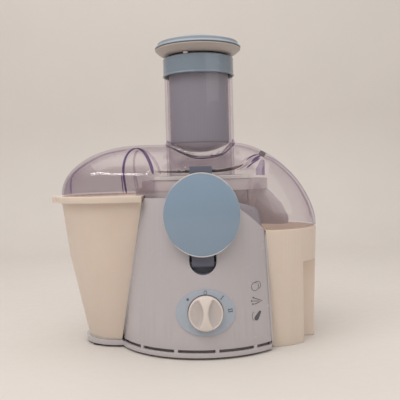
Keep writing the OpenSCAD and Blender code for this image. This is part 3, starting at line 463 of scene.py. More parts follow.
def roof_field(p):
    x, y, z = p[..., 0], p[..., 1], p[..., 2]
    lobes = soft_min(left_field(x, y, z), right_field(x, y, z), 4.0)
    return soft_min(lobes, middle_field(x, y, z), 4.0)


def lid_field(p):
    tube = np.maximum(np.hypot(p[..., 0], p[..., 1]) - TUBE_R, p[..., 2] - 235.0)
    return soft_min(roof_field(p), tube, 5.0)


def slope_of(field, p):
    h = 0.05
    steps = np.eye(3) * h
    g = np.stack([(field(p + s) - field(p - s)) / (2 * h) for s in steps], -1)
    return g


def level_surface(field, low, high, pitch):
    """Vertices and quads of the surface where the field is zero, one vertex in each cell that it crosses."""
    axes = [np.arange(a, b + pitch, pitch) for a, b in zip(low, high)]
    grid = np.stack(np.meshgrid(*axes, indexing="ij"), -1)
    inside = field(grid) < 0
    cells = np.zeros([n - 1 for n in inside.shape], int)
    for dx in (0, 1):
        for dy in (0, 1):
            for dz in (0, 1):
                cells += inside[dx:inside.shape[0] - 1 + dx, dy:inside.shape[1] - 1 + dy,
                                dz:inside.shape[2] - 1 + dz]
    crossed = (cells > 0) & (cells < 8)
    index = -np.ones(crossed.shape, int)
    index[crossed] = np.arange(crossed.sum())
    points = grid[:-1, :-1, :-1][crossed] + pitch / 2
    for _ in range(12):
        value = field(points)
        g = slope_of(field, points)
        step = value[:, None] * g / np.maximum((g * g).sum(-1, keepdims=True), 1e-6)
        points = points - np.clip(step, -pitch, pitch)
    quads = []
    for axis in range(3):
        a = np.moveaxis(inside, axis, 0)
        flips = np.argwhere(a[:-1] != a[1:])
        b, c = [k for k in range(3) if k != axis]
        for f in flips:
            place = np.zeros(3, int)
            place[axis], place[b], place[c] = f
            corners = []
            for db, dc in ((0, 0), (1, 0), (1, 1), (0, 1)):
                cell = place.copy()
                cell[b] -= db
                cell[c] -= dc
                if (cell < 0).any() or (cell >= crossed.shape).any():
                    break
                corners.append(index[tuple(cell)])
            if len(corners) == 4 and min(corners) >= 0:
                quads.append(corners)
    return points, quads


def cut(bm, point, normal):
    bmesh.ops.bisect_plane(bm, geom=bm.verts[:] + bm.edges[:] + bm.faces[:], dist=1e-4,
                           plane_co=point, plane_no=normal)


# The lip behind the housing's curved top edge (x, z), and the lid's stepped lower edge above it
LIP = [(14, 164.0), (26, 161.6), (40, 157.0), (50, 154.0), (56, 151.6), (59.5, 148.0), (61.6, 142.0),
       (63.0, 134.0), (64.5, 128.6)]
LID_EDGE = [(-200, LEFT_Z), (-50, LEFT_Z), (-49.9, BOWL_TOP_Z + LID_GAP), (50, BOWL_TOP_Z + LID_GAP),
            (50.1, 155.4), (56, 153.0), (60, 149.6), (63, 142.0), (64.6, 134.0), (66.6, RIGHT_Z),
            (200, RIGHT_Z)]


def height_on(line, x):
    return float(np.interp(x, [p[0] for p in line], [p[1] for p in line]))


def lid_shell():
    points, quads = level_surface(lid_field, (-164, -80, 122), (136, 80, 232), 2.0)
    bm = bmesh.new()
    verts = [bm.verts.new(p) for p in points]
    for q in quads:
        if len(set(q)) == 4:
            bm.faces.new([verts[i] for i in q])
    for a, b in zip(LID_EDGE, LID_EDGE[1:]):
        cut(bm, (a[0], 0, a[1]), (a[1] - b[1], 0, b[0] - a[0]))
    cut(bm, (0, 0, OPEN_Z), (0, 0, 1))
    gone = []
    for f in bm.faces:
        c = f.calc_center_median()
        below = c.z < height_on(LID_EDGE, c.x)
        in_tube = math.hypot(c.x, c.y) < TUBE_R + 0.1 or c.z > OPEN_Z
        if below or in_tube:
            gone.append(f)
    bmesh.ops.delete(bm, geom=gone, context="FACES")
    bm.verts.ensure_lookup_table()
    outer = list(bm.verts)
    at = np.array([v.co for v in outer])
    normals = slope_of(lid_field, at)
    normals /= np.linalg.norm(normals, axis=1, keepdims=True)
    inner = {v: bm.verts.new(Vector(v.co) - Vector(n) * LID_T) for v, n in zip(outer, normals)}
    rim = [e for e in bm.edges if e.is_boundary]
    shell = list(bm.faces)
    for f in shell:
        bm.faces.new([inner[v] for v in reversed(f.verts)])
    for e in rim:
        a, b = e.verts
        face = bm.faces.new([a, b, inner[b], inner[a]])
        face.material_index = 1
    return bm


def onto(field, points, lift=0.0):
    """Points moved to the nearest place on a surface, and then off it."""
    p = np.array(points, float)
    for _ in range(20):
        g = slope_of(field, p)
        p -= field(p)[:, None] * g / np.maximum((g * g).sum(-1, keepdims=True), 1e-6)
    g = slope_of(field, p)
    return p + lift * g / np.linalg.norm(g, axis=1, keepdims=True)


def curve_through(points, steps=6):
    """A smooth curve through points (Catmull-Rom)."""
    p = np.array(points, float)
    p = np.vstack([2 * p[0] - p[1], p, 2 * p[-1] - p[-2]])
    out = []
    for i in range(1, len(p) - 2):
        for t in np.arange(steps) / steps:
            a, b, c, d = p[i - 1:i + 3]
            out.append(0.5 * (2 * b + (c - a) * t + (2 * a - 5 * b + 4 * c - d) * t * t
                              + (3 * b - a - 3 * c + d) * t ** 3))
    out.append(p[-2])
    return np.array(out)


def bead(points, half_width, half_height, up, sides=10):
    """A rounded strip along points. up gives the direction of its height at each point."""
    bm = bmesh.new()
    p = np.array(points, float)
    ahead = np.gradient(p, axis=0)
    ahead /= np.linalg.norm(ahead, axis=1, keepdims=True)
    lift = np.broadcast_to(np.array(up, float), p.shape)
    across = np.cross(ahead, lift)
    across /= np.linalg.norm(across, axis=1, keepdims=True)
    rise = np.cross(across, ahead)
    stations = np.linspace(0, 1, np.size(half_width))
    widths = np.interp(np.linspace(0, 1, len(p)), stations, np.atleast_1d(half_width))
    rings = []
    for k in range(len(p)):
        end = min(1.0, 0.35 + 0.65 * min(k, len(p) - 1 - k) / 2)
        turn = [2 * math.pi * i / sides for i in range(sides)]
        rings.append([bm.verts.new(p[k] + across[k] * widths[k] * end * math.cos(a)
                                   + rise[k] * half_height * end * math.sin(a)) for a in turn])
    for a, b in zip(rings, rings[1:]):
        for i in range(sides):
            j = (i + 1) % sides
            bm.faces.new((a[i], a[j], b[j], b[i]))
    bm.faces.new(rings[0])
    bm.faces.new(list(reversed(rings[-1])))
    return bm


def evenly(line, pitch=1.8):
    """The same line with its points at equal steps."""
    p = np.array(line, float)
    along = np.concatenate([[0.0], np.cumsum(np.linalg.norm(np.diff(p, axis=0), axis=1))])
    at = np.linspace(0, along[-1], max(3, round(along[-1] / pitch) + 1))
    return np.stack([np.interp(at, along, column) for column in p.T], -1)


def on_front(line):
    """Where the lid's front surface stands at each (x, height) point, found by halving."""
    x, z = evenly(line).T
    outside, inside = np.full_like(x, -80.0), np.zeros_like(x)
    for _ in range(24):
        y = (outside + inside) / 2
        clear_of_lid = lid_field(np.stack([x, y, z], -1)) > 0
        outside = np.where(clear_of_lid, y, outside)
        inside = np.where(clear_of_lid, inside, y)
    return np.stack([x, inside, z], -1)


def lid_bead(name, line, side, half_width, half_height, material, lift=-0.3):
    """A bead on the lid along an (x, height) line: side 1 is the front and -1 the back."""
    path = onto(lid_field, on_front(line) * (1, side, 1), lift)
    normal = slope_of(lid_field, path)
    normal /= np.linalg.norm(normal, axis=1, keepdims=True)
    return piece(name, bead(path, half_width, half_height, normal), "lid", material)


def saddle(steps=72):
    """Where the feed tube leaves the lid's roof."""
    r = TUBE_R + 0.6
    out = []
    for i in range(steps + 1):
        a = 2 * math.pi * i / steps
        heights = np.arange(192.0, 232.0, 0.25)
        column = np.stack([np.full_like(heights, r * math.cos(a)), np.full_like(heights, r * math.sin(a)),
                           heights], -1)
        inside = roof_field(column) < 0
        out.append((r * math.cos(a), r * math.sin(a), heights[inside].max() if inside.any() else 200.0))
    line = np.array(out)
    kernel = np.ones(5) / 5
    line[2:-2, 2] = np.convolve(line[:, 2], kernel, "valid")
    return line


def arch():
    """The opening between the bowl and the pulp container: two leaning legs under an elliptical head."""
    low_z, spring_z, top_z, right_z = 169.6, 187.0, 218.9, 189.1
    half, lean, foot_x = 15.8, 0.16, -63.3
    turn = np.linspace(math.pi, math.asin((right_z - spring_z) / (top_z - spring_z)), 40)
    z = np.concatenate([np.linspace(low_z, spring_z, 10)[:-1], spring_z + (top_z - spring_z) * np.sin(turn)])
    off = np.concatenate([np.full(9, -half), half * np.cos(turn)])
    return np.stack([foot_x - lean * (z - low_z) + off, z], -1)


def lid_details():
    arch_line = [(-82.5, 171.0), (-84.5, 191.0)]
    fan = ((0.8, 1.0, [(66.5, 204.5), (58.0, 199.5), (49.0, 193.5)]),
           (1.7, 0.8, [(66.5, 207.0), (61.0, 204.0), (55.0, 199.5)]),
           (0.9, 0.5, [(64.5, 208.5), (57.0, 206.5), (49.5, 201.5)]))
    left_crease = [(-141.5, 170.0), (-142.5, 185.0), (-137.0, 195.0), (-118.0, 207.0), (-104.0, 213.0),
                   (-81.5, 217.0)]
    right_crease = [(73.5, 207.0), (88.0, 199.0), (109.5, 177.5), (124.0, 151.0), (128.5, 134.0)]
    shoulder = [(-47.5, 191.5), (-9.0, 190.5), (18.5, 191.0), (36.0, 193.5), (46.0, 197.5)]
    for word, side in (("front", 1), ("back", -1)):
        rib, crease = (PURPLE, CLEAR_EDGE) if side > 0 else (SOFT_EDGE, SOFT_EDGE)
        lid_bead("lid_arch_" + word, arch(), side, (1.1, 1.3, 1.4, 1.9, 1.5), 0.7, rib)
        lid_bead("lid_arch_line_" + word, arch_line, side, 0.6, 0.5, rib)
        # fan of ribs of the opening on the spout's side
        for k, (wide, narrow, line) in enumerate(fan):
            lid_bead(f"lid_fan_{word}_{k}", curve_through(line), side, (wide, wide, narrow), 0.7, rib)
        # creases where the lobes' sides turn into their tops
        lid_bead("lid_crease_right_" + word, curve_through(right_crease), side, (0.8, 1.4, 1.8, 2.0), 0.4,
                 crease, -0.2)
        if side > 0:
            lid_bead("lid_crease_left", curve_through(left_crease), side, (2.0, 1.8, 1.4, 1.1, 0.9), 0.4,
                     crease, -0.2)
        # shoulder between the rim and the roof
        lid_bead("lid_shoulder_" + word, curve_through(shoulder), side, (0.5, 0.7, 0.7, 0.9, 1.6, 1.2), 0.6,
                 SHOULDER)
    # saddle round the feed tube
    line = saddle()
    line[-1] = line[0]
    outward = line * (1, 1, 0)
    piece("lid_saddle", bead(line, 0.8, 0.6, outward + (0, 0, 20.0)), "lid", CLEAR_EDGE)
    # locating tab on top of the right lobe, and the partition below it
    bm = bmesh.new()
    place = Matrix.Translation((71.1, 0, 209.6)) @ Matrix.Rotation(math.radians(28), 4, "Y")
    bmesh.ops.create_cube(bm, size=1.0, matrix=place @ Matrix.Diagonal((7.0, 8.0, 5.5, 1)))
    bmesh.ops.bevel(bm, geom=bm.edges[:], offset=1.0, segments=3, affect="EDGES", profile=0.5)
    piece("lid_tab", bm, "lid", TAB)
    half, thick, low, high, drop = 44.0, 1.6, 185.0, 203.0, 10.0
    bm = bmesh.new()
    rows = []
    for a in [math.radians(d) for d in range(-80, 81, 8)]:
        x, y = 68.0 + 4.0 * math.cos(a), half * math.sin(a)
        top = high - drop * (y / half) ** 2
        corners = ((0, low), (0, top), (-thick, top), (-thick, low))
        rows.append([bm.verts.new((x + dx, y, z)) for dx, z in corners])
    for a, b in zip(rows, rows[1:]):
        for i in range(4):
            bm.faces.new((a[i], a[(i + 1) % 4], b[(i + 1) % 4], b[i]))
    bm.faces.new(rows[0])
    bm.faces.new(list(reversed(rows[-1])))
    piece("lid_partition", bm, "lid", CLEAR_EDGE)
    # rim over the bowl, pale and partly see-through: painted light over the dark gap at the bowl's top edge
    inner, outer, low, half = BOWL_R + 0.1, BOWL_R + 1.2, 182.4, 50.5
    corners = [(inner, low), (outer, low), (outer, low + 3.6), (inner, low + 4.2)]
    bm = revolved(rounded(corners, [0.2, 0.4, 0.4, 0.2], 3), 144)
    gone = [f for f in bm.faces if abs(f.calc_center_median().x) > half]
    bmesh.ops.delete(bm, geom=gone, context="FACES")
    bmesh.ops.holes_fill(bm, edges=[e for e in bm.edges if e.is_boundary], sides=0)
    piece("lid_rim", bm, "lid", RIM_BAND_LIGHT)


piece("lid_shell", lid_shell(), "lid", [CLEAR, CLEAR_EDGE], ("lid",), 60.0)
lid_details()


# ---------------------------------------------------------------- pusher, collar and feed tube

CAP_R = (span("pusher_cap")[1].x - span("pusher_cap")[0].x) / 2
CAP_Z, CAP_TOP_Z = span("pusher_cap")[0].z, span("pusher_cap")[1].z
COLLAR_Z, COLLAR_TOP_Z = span("tube_collar")[0].z, span("tube_collar")[1].z
PUSHER_R, PUSHER_DROP = 33.8, 10.0
PUSHER_Z, RING_Z = span("pusher_body")[0].z, span("pusher_body")[1].z


def pusher_and_collar():
    # cap: a dome with a soft edge over a thin groove
    outline = [(0.0, CAP_TOP_Z)]
    for i in range(1, 25):
        t = math.sin(math.pi / 2 * i / 24)
        outline.append((CAP_R * 0.99 * t, CAP_Z + 1.6 + (CAP_TOP_Z - CAP_Z - 1.6) * (1 - t ** 2.1) ** 0.85))
    outline += [(CAP_R, CAP_Z + 1.1), (CAP_R - 0.1, CAP_Z + 0.5), (CAP_R - 0.7, CAP_Z + 0.3),
                (CAP_R - 3.0, CAP_Z + 0.3), (CAP_R - 3.2, CAP_Z + 6.0), (0.0, CAP_Z + 9.0)]
    piece("pusher_cap_dome", revolved(outline, 160), "pusher", CAP_BLUE, ("pusher_cap",), 50.0)
    # ring: full and round below, with a step to its dark gap, in the darker copy of the off-white as painted
    # shade
    ring = [(PUSHER_R + 0.2, RING_Z + 0.4), (37.2, RING_Z + 0.4)]
    for i in range(13):
        t = i / 12
        ring.append((37.8 + (CAP_R - 38.2) * t ** 0.6, RING_Z + 0.6 + (CAP_Z - 2.2 - RING_Z) * t))
    ring += [(CAP_R - 0.4, CAP_Z - 0.9), (CAP_R - 1.4, CAP_Z - 0.1), (PUSHER_R + 0.2, CAP_Z - 0.1)]
    piece("pusher_ring_band", revolved(ring, 160), "pusher", RING_SHADED, ("pusher_ring",), 45.0)
    key = bmesh.new()
    turn = Matrix.Rotation(math.radians(250), 4, "Z") @ Matrix.Translation((38.6, 0, RING_Z - 1.1))
    bmesh.ops.create_cube(key, size=1.0, matrix=turn @ Matrix.Diagonal((2.6, 5.0, 2.5, 1)))
    bmesh.ops.bevel(key, geom=key.edges[:], offset=0.4, segments=2, affect="EDGES", profile=0.5)
    # the key takes the same painted-shade copy of the off-white
    piece("pusher_key", key, "pusher", RING_SHADED)
    # collar: a cuff with a flared lip
    cuff = rounded([(39.1, COLLAR_Z), (40.9, COLLAR_Z), (40.9, COLLAR_Z + 1.2), (40.2, COLLAR_Z + 2.4),
                    (40.2, COLLAR_TOP_Z), (36.0, COLLAR_TOP_Z), (36.0, COLLAR_TOP_Z - 1.4),
                    (39.1, COLLAR_TOP_Z - 1.7)],
                   [0.3, 0.7, 0.5, 0.6, 1.2, 0.4, 0.3, 0.3])
    piece("tube_cuff", revolved(cuff, 160), "lid", COLLAR, ("tube_collar",), 50.0)
    # pusher body: fluted cup with a rounded bottom
    flutes = 60
    steps = flutes * 4
    bm = bmesh.new()
    rows = []
    outline = [(r, PUSHER_Z + 0.1 + PUSHER_DROP * (r / PUSHER_R) ** 2)
               for r in (0.0, 8.0, 14.0, 19.0, 24.0, 28.0, 31.0)]
    outline += [(32.8, PUSHER_Z + PUSHER_DROP - 0.3), (33.6, PUSHER_Z + PUSHER_DROP + 0.8)]
    outline += [(PUSHER_R, z) for z in np.linspace(PUSHER_Z + PUSHER_DROP + 2.4, RING_Z - 0.5, 12)]
    floor_z = PUSHER_Z + PUSHER_DROP + 2.0
    outline += [(PUSHER_R - 2.0, RING_Z - 0.5), (PUSHER_R - 2.0, floor_z), (0.0, floor_z)]
    for r, z in outline:
        if r < 1e-6:
            rows.append([bm.verts.new((0, 0, z))])
            continue
        row = []
        for i in range(steps):
            a = 2 * math.pi * i / steps
            groove = 0.12 * (0.5 + 0.5 * math.cos(flutes * a)) if r > PUSHER_R - 0.1 else 0.0
            row.append(bm.verts.new(((r - groove) * math.cos(a), (r - groove) * math.sin(a), z)))
        rows.append(row)
    for low, high in zip(rows, rows[1:]):
        for i in range(steps):
            j = (i + 1) % steps
            corners = [low[i % len(low)], low[j % len(low)], high[j % len(high)], high[i % len(high)]]
            bm.faces.new(list(dict.fromkeys(corners)))
    # painted light: the rounded bottom takes the lighter copy of the grey
    for f in bm.faces:
        f.material_index = 1 if f.calc_center_median().z < PUSHER_Z + PUSHER_DROP - 0.4 else 0
    key_low, key_high = PUSHER_Z + PUSHER_DROP + 31.0, RING_Z - 1.0
    middle = Matrix.Translation((PUSHER_R + 0.3, 0, (key_low + key_high) / 2))
    rib = Matrix.Rotation(math.radians(110), 4, "Z") @ middle
    bmesh.ops.create_cube(bm, size=1.0, matrix=rib @ Matrix.Diagonal((1.6, 5.6, key_high - key_low, 1)))
    piece("pusher_cup", bm, "pusher", [PUSHER, DOME_LIT], ("pusher_body",), 40.0)
    # feed tube with rolled ends
    wall = rounded([(TUBE_BORE_R, TUBE_Z), (TUBE_R, TUBE_Z), (TUBE_R, TUBE_TOP_Z), (TUBE_BORE_R, TUBE_TOP_Z)],
                   [1.2, 1.2, 1.0, 1.0])
    bm = revolved(wall, 160)
    for f in bm.faces:
        c = f.calc_center_median()
        f.material_index = 1 if c.z < TUBE_Z + 1.6 else 0
    piece("feed_tube_wall", bm, "lid", [CLEAR, CLEAR_EDGE], ("feed_tube",), 50.0)


pusher_and_collar()


# ---------------------------------------------------------------- housing, dial and knob

def drum_y(x, z, off=0.0):
    """Y of the drum's front at an X and a height."""
    r = DRUM_R + (DRUM_TOP_R - DRUM_R) * (z - DRUM_Z) / (DRUM_TOP_Z - DRUM_Z) + off
    return -math.sqrt(max(r * r - x * x, 0.0))


def printed(name, outlines, at, off):
    """Ink on the front of the drum: (x, height) outlines around a point, cut up so that they bend with it."""
    bm = bmesh.new()
    for outline in outlines:
        bm.faces.new([bm.verts.new((at[0] + x, 0, at[1] + h)) for x, h in outline])
    bmesh.ops.triangulate(bm, faces=bm.faces)
    for _ in range(3):
        long = [e for e in bm.edges if e.calc_length() > 0.9]
        if long:
            bmesh.ops.subdivide_edges(bm, edges=long, cuts=1, use_grid_fill=True)
    for v in bm.verts:
        v.co.y = drum_y(v.co.x, v.co.z, off)
    return piece(name, bm, "base", INK)


def stroke(points, width, closed=False):
    """Quads along a line of (x, height) points."""
    p = [Vector(q) for q in points]
    if closed:
        p.append(p[0])
    sides = []
    for i, q in enumerate(p):
        before = p[i - 1] if i else (p[-2] if closed else p[0])
        after = p[i + 1] if i + 1 < len(p) else (p[1] if closed else p[-1])
        along = (after - before).normalized()
        side = Vector((-along.y, along.x)) * width / 2
        sides.append((q + side, q - side))
    return [[tuple(a[0]), tuple(a[1]), tuple(b[1]), tuple(b[0])] for a, b in zip(sides, sides[1:])]


def arc(cx, cy, rx, ry, start, end, steps=20):
    return [(cx + rx * math.cos(math.radians(start + (end - start) * i / steps)),
             cy + ry * math.sin(math.radians(start + (end - start) * i / steps))) for i in range(steps + 1)]


def turned(points, degrees, at=(0.0, 0.0)):
    a = math.radians(degrees)
    return [(at[0] + x * math.cos(a) - y * math.sin(a), at[1] + x * math.sin(a) + y * math.cos(a))
            for x, y in points]


DIAL_Z, DIAL_SIDE = 47.5, 0.9
DIAL_AT = (-drum_y(0, DIAL_Z) * math.sin(math.radians(DIAL_SIDE)), DIAL_Z)
DIAL_LIFT = 1.35


def dial_marks():
    dot = arc(0, 0, 1.35, 1.35, 0, 342, 18)
    zero = stroke(arc(0, 0, 1.45, 2.0, 0, 342, 18), 0.5, True)
    one = stroke([(0, -2.2), (0, 2.2)], 0.8)
    one += stroke([(-0.8, 2.1), (0.8, 2.1)], 0.5) + stroke([(-0.8, -2.1), (0.8, -2.1)], 0.5)
    two = [[(x + dx, y) for x, y in q] for dx in (-1.15, 1.15) for q in stroke([(0, -2.0), (0, 2.0)], 0.8)]
    two += stroke([(-2.1, 1.9), (2.1, 1.9)], 0.5) + stroke([(-2.1, -1.9), (2.1, -1.9)], 0.5)
    for name, shapes, turn, at in (("dial_dot", [dot], 0, (-18.0, 13.8)), ("dial_zero", zero, 0, (0.1, 20.6)),
                                   ("dial_one", one, -40, (16.9, 14.8)), ("dial_two", two, -84, (25.2, 1.4))):
        printed(name, [turned(q, turn, at) for q in shapes], DIAL_AT, DIAL_LIFT)


def pictograms():
    """Three plain signs for soft fruit, pointed roots and long vegetables."""
    fruit = stroke(arc(-1.4, -0.3, 3.9, 4.3, 60, 400, 26), 0.5)
    fruit += stroke(arc(1.9, 0.6, 3.0, 3.8, -75, 100, 16), 0.5)
    fruit += stroke([(-1.4, 3.2), (-0.2, 4.6), (1.6, 4.6)], 0.5)
    root = stroke([(-3.6, 3.4), (1.4, 1.2), (6.0, -0.9), (1.6, -2.2), (-2.6, -3.4)], 0.75)
    root += stroke([(-4.4, 0.2), (-0.6, -0.3), (2.6, -0.7)], 0.6)
    root += [arc(x, y, 0.85, 0.85, 0, 330, 11) for x, y in ((-5.4, 0.4), (-3.6, 3.6), (-4.2, -2.9))]
    outline = arc(0, 3.6, 1.5, 1.8, 0, 180, 10) + arc(0, -2.8, 2.5, 2.5, 180, 360, 10)
    baton = [turned(outline, -34, (1.0, 0.2))]
    baton += stroke(arc(-3.0, 0.2, 2.3, 4.2, 85, 265, 14), 0.45)
    for name, shapes, z in (("fruit", fruit, 70.1), ("root", root, 55.1), ("baton", baton, 39.4)):
        printed("sign_" + name, shapes, (54.8, z), 0.12)


def knob():
    """A dished disc with a waisted ridge across it to hold, from its sunk foot up."""
    radius, base, height, rim, foot, bore = 17.6, 3.2, 13.0, 16.3, -2.1, 3.1
    steps, turns = 44, 144
    bm = bmesh.new()

    def ridge_half(y):
        return 1.9 + 5.2 * (y / 15.0) ** 2

    def top(x, y):
        r = math.hypot(x, y)
        ridge = 1.0 / (1.0 + math.exp((abs(x) - ridge_half(y) - 1.4) / 0.75))
        crown = height - 2.6 * (r / rim) ** 2
        dish = base + 4.4 + 0.9 * (r / rim) ** 2
        z = dish + (crown - dish) * ridge
        if r > rim:
            t = min(1.0, (r - rim) / (radius - rim))
            edge = base + 5.7
            z = max(z, edge) if t < 0.15 else z
            z = (1 - t) * max(z, edge) + t * (edge - 1.2 * t * t)
        return z

    circle = [(math.cos(a), math.sin(a)) for a in [2 * math.pi * k / turns for k in range(turns)]]
    rows = [[bm.verts.new((0, 0, top(0, 0)))]]
    for i in range(1, steps + 1):
        r = radius * (i / steps) ** 0.85
        rows.append([bm.verts.new((r * c, r * s, top(r * c, r * s))) for c, s in circle])
    for r in (radius, bore):
        rows.append([bm.verts.new((r * c, r * s, foot)) for c, s in circle])
    rows.append([bm.verts.new((0, 0, foot))])
    for low, high in zip(rows, rows[1:]):
        for i in range(turns):
            j = (i + 1) % turns
            corners = [low[i % len(low)], low[j % len(low)], high[j % len(high)], high[i % len(high)]]
            bm.faces.new(list(dict.fromkeys(corners)))
    # painted shade: the scooped hollows take the darker copy of the off-white
    for f in bm.faces:
        c = f.calc_center_median()
        scooped = abs(c.x) > ridge_half(c.y) + 0.5 and math.hypot(c.x, c.y) < rim - 0.3
        f.material_index = 1 if c.z > 0 and scooped else 0
    bmesh.ops.transform(bm, matrix=on_panel(DIAL_Z, DIAL_SIDE), verts=bm.verts)
    piece("knob_grip", bm, "knob", [IVORY, SCOOP_SHADED], ("selector_knob",), 45.0)


def housing_lip():
    """The lip that stands behind the housing's curved top edge, painted darker than the housing as shade on
    the inner wall.
    """
    xs = list(np.linspace(14.5, 64.3, 60))
    bm = bmesh.new()
    rows = []
    for x in xs:
        high = height_on(LIP, x)
        low = max(122.0, high - 26.0)
        line = []
        for k in range(9):
            z = low + (high - low) * k / 8
            line.append((x, drum_y(x, z, -2.0 - 0.9 * (k == 8)), z))
        line.append((x, line[-1][1] + 1.2, high - 0.3))
        line.append((x, line[-1][1] + 0.1, low))
        rows.append([bm.verts.new(p) for p in line])
    for a, b in zip(rows, rows[1:]):
        for i in range(len(a)):
            j = (i + 1) % len(a)
            bm.faces.new((a[i], a[j], b[j], b[i]))
    bm.faces.new(rows[0])
    bm.faces.new(list(reversed(rows[-1])))
    piece("housing_lip", bm, "base", LIP_SHADED, (), 35.0)


def seams():
    """Soft seals in the gaps between the housing and the two containers, and a dark sheet behind the vents as
    painted shade for the inside seen through them.
    """
    for side, edge, low, high, off in (("left", (-89.7, -61.3, 164.0), 14.0, 160.0, 0.3),
                                       ("right", (70.6, 66.0, 128.0), 6.0, 124.0, 0.6)):
        for end, y in (("front", -1), ("back", 1)):
            line = []
            for z in np.linspace(low, high, 24):
                x = edge[0] + (edge[1] - edge[0]) * (z - DRUM_Z) / (edge[2] - DRUM_Z)
                line.append((x + math.copysign(off, x), -drum_y(x, z, 0.1) * y, z))
            seal = bead(line, 1.7 - off, 0.8, (0.0, 1.0, 0.0))
            piece(f"seam_{side}_{end}", seal, "base", HOUSING)
    # painted shade: a dark sheet behind the vent slots
    wall = [(93.0, 5.6), (94.4, 5.6), (94.4, 11.5), (93.0, 11.5)]
    bm = revolved(wall, 144)
    gone = [f for f in bm.faces if not -84.0 < f.calc_center_median().x < 66.0]
    bmesh.ops.delete(bm, geom=gone, context="FACES")
    bmesh.ops.holes_fill(bm, edges=[e for e in bm.edges if e.is_boundary], sides=0)
    piece("vent_shade_sheet", bm, "base", VENT_SHADE)


def container_foot():
    """The low foot that the pulp container stands on."""
    source = frame["nodes"]["pulp_container"]
    corners = [source.matrix_world @ v.co for v in source.data.vertices]
    floor_z = min(c.z for c in corners)
    under = [p for p in source.data.polygons if all(corners[i].z < floor_z + 0.00005 for i in p.vertices)]
    edge_use = {}
    for poly in under:
        for key in poly.edge_keys:
            edge_use[key] = edge_use.get(key, 0) + 1
    beside = {}
    for a, b in [key for key, count in edge_use.items() if count == 1]:
        beside.setdefault(a, []).append(b)
        beside.setdefault(b, []).append(a)
    loop = [min(beside, key=lambda i: (corners[i].x, corners[i].y))]
    while len(loop) < len(beside):
        loop.append(next(i for i in beside[loop[-1]] if i not in loop))
    middle = sum((corners[i] for i in loop), Vector()) / len(loop)
    bm = bmesh.new()
    rows = []
    for scale, z in ((0.995, floor_z + 0.0002), (0.985, floor_z - 0.0004), (0.975, floor_z - 0.0018)):
        rows.append([bm.verts.new((middle.x + (corners[i].x - middle.x) * scale,
                                   middle.y + (corners[i].y - middle.y) * scale, z)) for i in loop])
    for a, b in zip(rows, rows[1:]):
        for k in range(len(loop)):
            bm.faces.new((a[k - 1], a[k], b[k], b[k - 1]))
    bm.faces.new(rows[0])
    bm.faces.new(list(reversed(rows[-1])))
    frame_piece("pulp_container_foot", bm, BODY_OF["pulp_container"], CREAM)


def bowl_skirt():
    """The thin wall that hides the gap between the bowl's band and the housing's top edge."""
    bm = revolved([(74.6, 159.0), (75.6, 159.0), (75.6, BAND_Z + 0.4), (74.6, BAND_Z + 0.4)], 180)
    bmesh.ops.delete(bm, geom=[f for f in bm.faces if f.calc_center_median().x > 24.0], context="FACES")
    bmesh.ops.holes_fill(bm, edges=[e for e in bm.edges if e.is_boundary], sides=0)
    piece("bowl_skirt", bm, BODY_OF["juice_bowl"], BOWL)


def cover_rim_highlight():
    """A bead round the latch cover's bevel, painted pale as a highlight on that edge."""
    low, high = span("latch_cover")
    middle = (low + high) / 2
    wide, tall = (high.x - low.x) / 2 - 0.5, (high.z - low.z) / 2 - 0.5
    line = [(middle.x + wide * math.cos(a), low.y + 5.6, middle.z + tall * math.sin(a))
            for a in [2 * math.pi * i / 144 for i in range(145)]]
    piece("latch_cover_rim", bead(line, 0.75, 0.75, (0.0, 1.0, 0.0)), "latch", RIM_HIGHLIGHT)


def pocket_faces(obj):
    """The inside of the latch slot is painted a dark slate grey: painted shade in the slot."""
    obj.data.materials.append(POCKET_SHADE)
    for poly in obj.data.polygons:
        spot = TO_FRAME.inverted() @ (obj.matrix_world @ poly.center)
        behind = spot.y - drum_y(spot.x, spot.z)
        if abs(spot.x) < 17.0 and 82.0 < spot.z and 1.2 < behind and spot.y < -70.0:
            poly.material_index = len(obj.data.materials) - 1


pocket_faces(softened("motor_housing", 0.8, HOUSING))
softened("base_plate", 0.7, HOUSING)
softened("dial_plate", 0.3, DIAL)
housing_lip()
dial_marks()
pictograms()
knob()
seams()
container_foot()
bowl_skirt()
cover_rim_highlight()


# ---------------------------------------------------------------- pieces rounded from the CAD nodes

GRIP_X, GRIP_HALF, GRIP_TOP_Z = 109.0, 11.0, 90.0


def inner_faces(obj):
    """The inside of a container, and the jug's grip recesses, in glowing copies of the cream: painted light
    that stands in for light coming through the walls and lightens their shade.
    """
    obj.data.materials.append(CREAM_INSIDE_GLOW)
    obj.data.materials.append(CREAM_GRIP_GLOW)
    corners = [obj.matrix_world @ v.co for v in obj.data.vertices]
    middle = [(min(c[k] for c in corners) + max(c[k] for c in corners)) / 2 for k in range(2)]
    floor_z, top_z = min(c.z for c in corners) + 0.002, max(c.z for c in corners) - 0.0015
    for poly in obj.data.polygons:
        c, n = obj.matrix_world @ poly.center, poly.normal
        inward = n.x * (c.x - middle[0]) + n.y * (c.y - middle[1]) < 0
        spot = TO_FRAME.inverted() @ c
        at_step = abs(spot.x - GRIP_X) < 0.8 or abs(abs(spot.y) - GRIP_HALF) < 0.8
        in_grip = spot.z < GRIP_TOP_Z + 1 and at_step
        # painted light: inward faces and floors take the glowing copy of the cream
        if floor_z < c.z < top_z and (inward if abs(n.z) < 0.8 else n.z > 0):
            poly.material_index = 1
        # painted light: the grip recess walls take their own glowing copy of the cream
        elif in_grip and spot.x > GRIP_X - 0.8 and max(abs(n.x), abs(n.y)) > 0.98:
            poly.material_index = 2


softened("latch_cover", 0.8, SKY)
softened("latch_arm", 0.8, SLATE)
softened("juice_bowl", 0.5, BOWL)
inner_faces(softened("pulp_container", 0.5, CREAM))
inner_faces(softened("juice_jug", 1.0, CREAM, 4))


# ---------------------------------------------------------------- floor, light and camera

